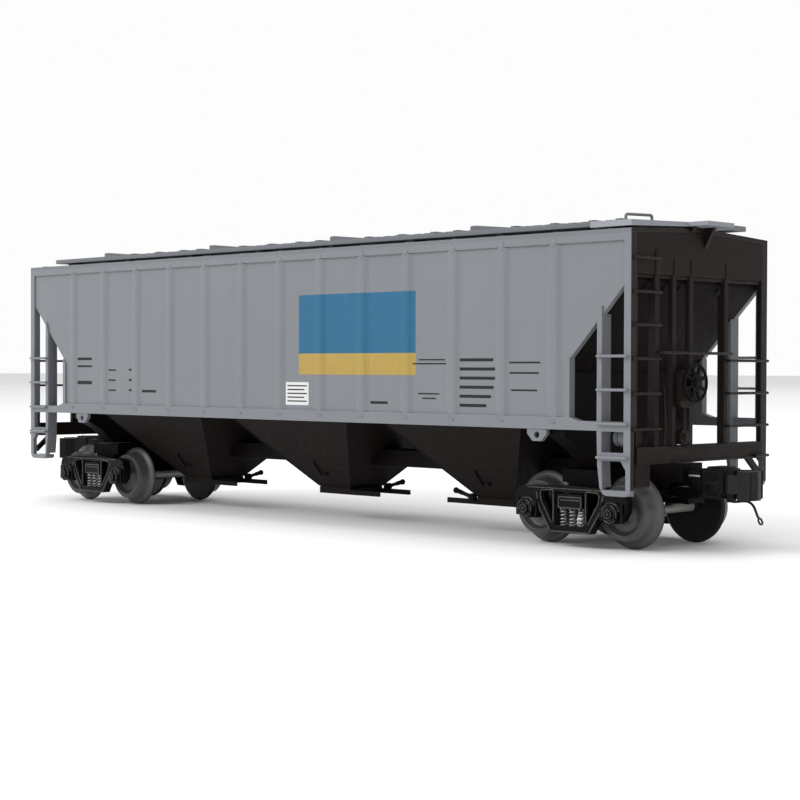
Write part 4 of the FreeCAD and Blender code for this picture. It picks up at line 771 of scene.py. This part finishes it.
    # casting ridges on the head
    for z in (15.6, 19.4, 22.6):
        block(b, [(147.6, -4.85), (154.6, -4.85), (154.6, -4.6), (147.6, -4.6)], z - 0.15, z + 0.15)
    b.finish("coupler_%s_pocket" % tag, "coupler_black", "coupler_" + tag)
    b = Builder()
    block(b, [(143.2, -4.45), (147.1, -4.5), (147.1, -4.2), (143.2, -4.0)], 20.9, 21.5, bevel=0.06)
    b.finish("coupler_%s_strip" % tag, "bright_steel", "coupler_" + tag, slot="spring_steel")

# ------------------------------------------------------------------ floor and light
def stage():
    t = Tree("floor_matt")
    n = t.noise(3.0, 2.0, 0.5, lo=0.3, hi=0.7)
    c = t.mix(n, col(244, 244, 243), col(248, 248, 247))
    t.link(c, t.bsdf.inputs["Base Color"])
    t.bsdf.inputs["Roughness"].default_value = 0.95
    t.bsdf.inputs["Specular IOR Level"].default_value = 0.1
    me = bpy.data.meshes.new("studio_floor")
    r = 14.0
    me.from_pydata([(-r, -r, 0), (r, -r, 0), (r, r, 0), (-r, r, 0)], [], [(0, 1, 2, 3)])
    me.materials.append(t.mat)
    ob = bpy.data.objects.new("studio_floor", me)
    SC.collection.objects.link(ob)

    world = bpy.data.worlds.new("studio")
    world.use_nodes = True
    nt = world.node_tree
    bg = nt.nodes["Background"]
    # soft box all round, dimmer on the side of the brake end
    tc = nt.nodes.new("ShaderNodeTexCoord")
    dot = nt.nodes.new("ShaderNodeVectorMath")
    dot.operation = "DOT_PRODUCT"
    dot.inputs[1].default_value = (0.94, 0.34, 0.0)
    nt.links.new(tc.outputs["Generated"], dot.inputs[0])
    ramp = nt.nodes.new("ShaderNodeMapRange")
    ramp.inputs["From Min"].default_value = -0.2
    ramp.inputs["From Max"].default_value = 0.9
    ramp.inputs["To Min"].default_value = 0.98
    ramp.inputs["To Max"].default_value = 0.25
    nt.links.new(dot.outputs["Value"], ramp.inputs["Value"])
    nt.links.new(ramp.outputs["Result"], bg.inputs[1])
    bg.inputs[0].default_value = (1.0, 1.0, 1.0, 1)
    SC.world = world

    def area(name, loc, aim, sx, sy, power, colour=(1, 1, 1)):
        li = bpy.data.lights.new(name, "AREA")
        li.shape = "RECTANGLE"
        li.size, li.size_y = sx, sy
        li.energy = power
        li.color = colour
        o = bpy.data.objects.new(name, li)
        o.location = loc
        d = Vector(aim) - Vector(loc)
        o.rotation_euler = d.to_track_quat("-Z", "Y").to_euler()
        SC.collection.objects.link(o)

    area("key_soft", (-0.45, -1.1, 0.95), (0, 0, 0.05), 0.9, 0.7, 10.5)
    area("top_soft", (0.2, 0.1, 1.4), (0, 0, 0.05), 1.2, 1.0, 2.0)
    area("room_top", (0.0, 1.2, 2.4), (0, 1.2, 0), 5.0, 5.0, 34.0)
    area("end_fill", (1.3, -0.2, 0.75), (0.1, 0, 0.05), 0.6, 0.6, 1.5)
    SC.view_settings.view_transform = "Standard"
    SC.view_settings.look = "None"


stage()
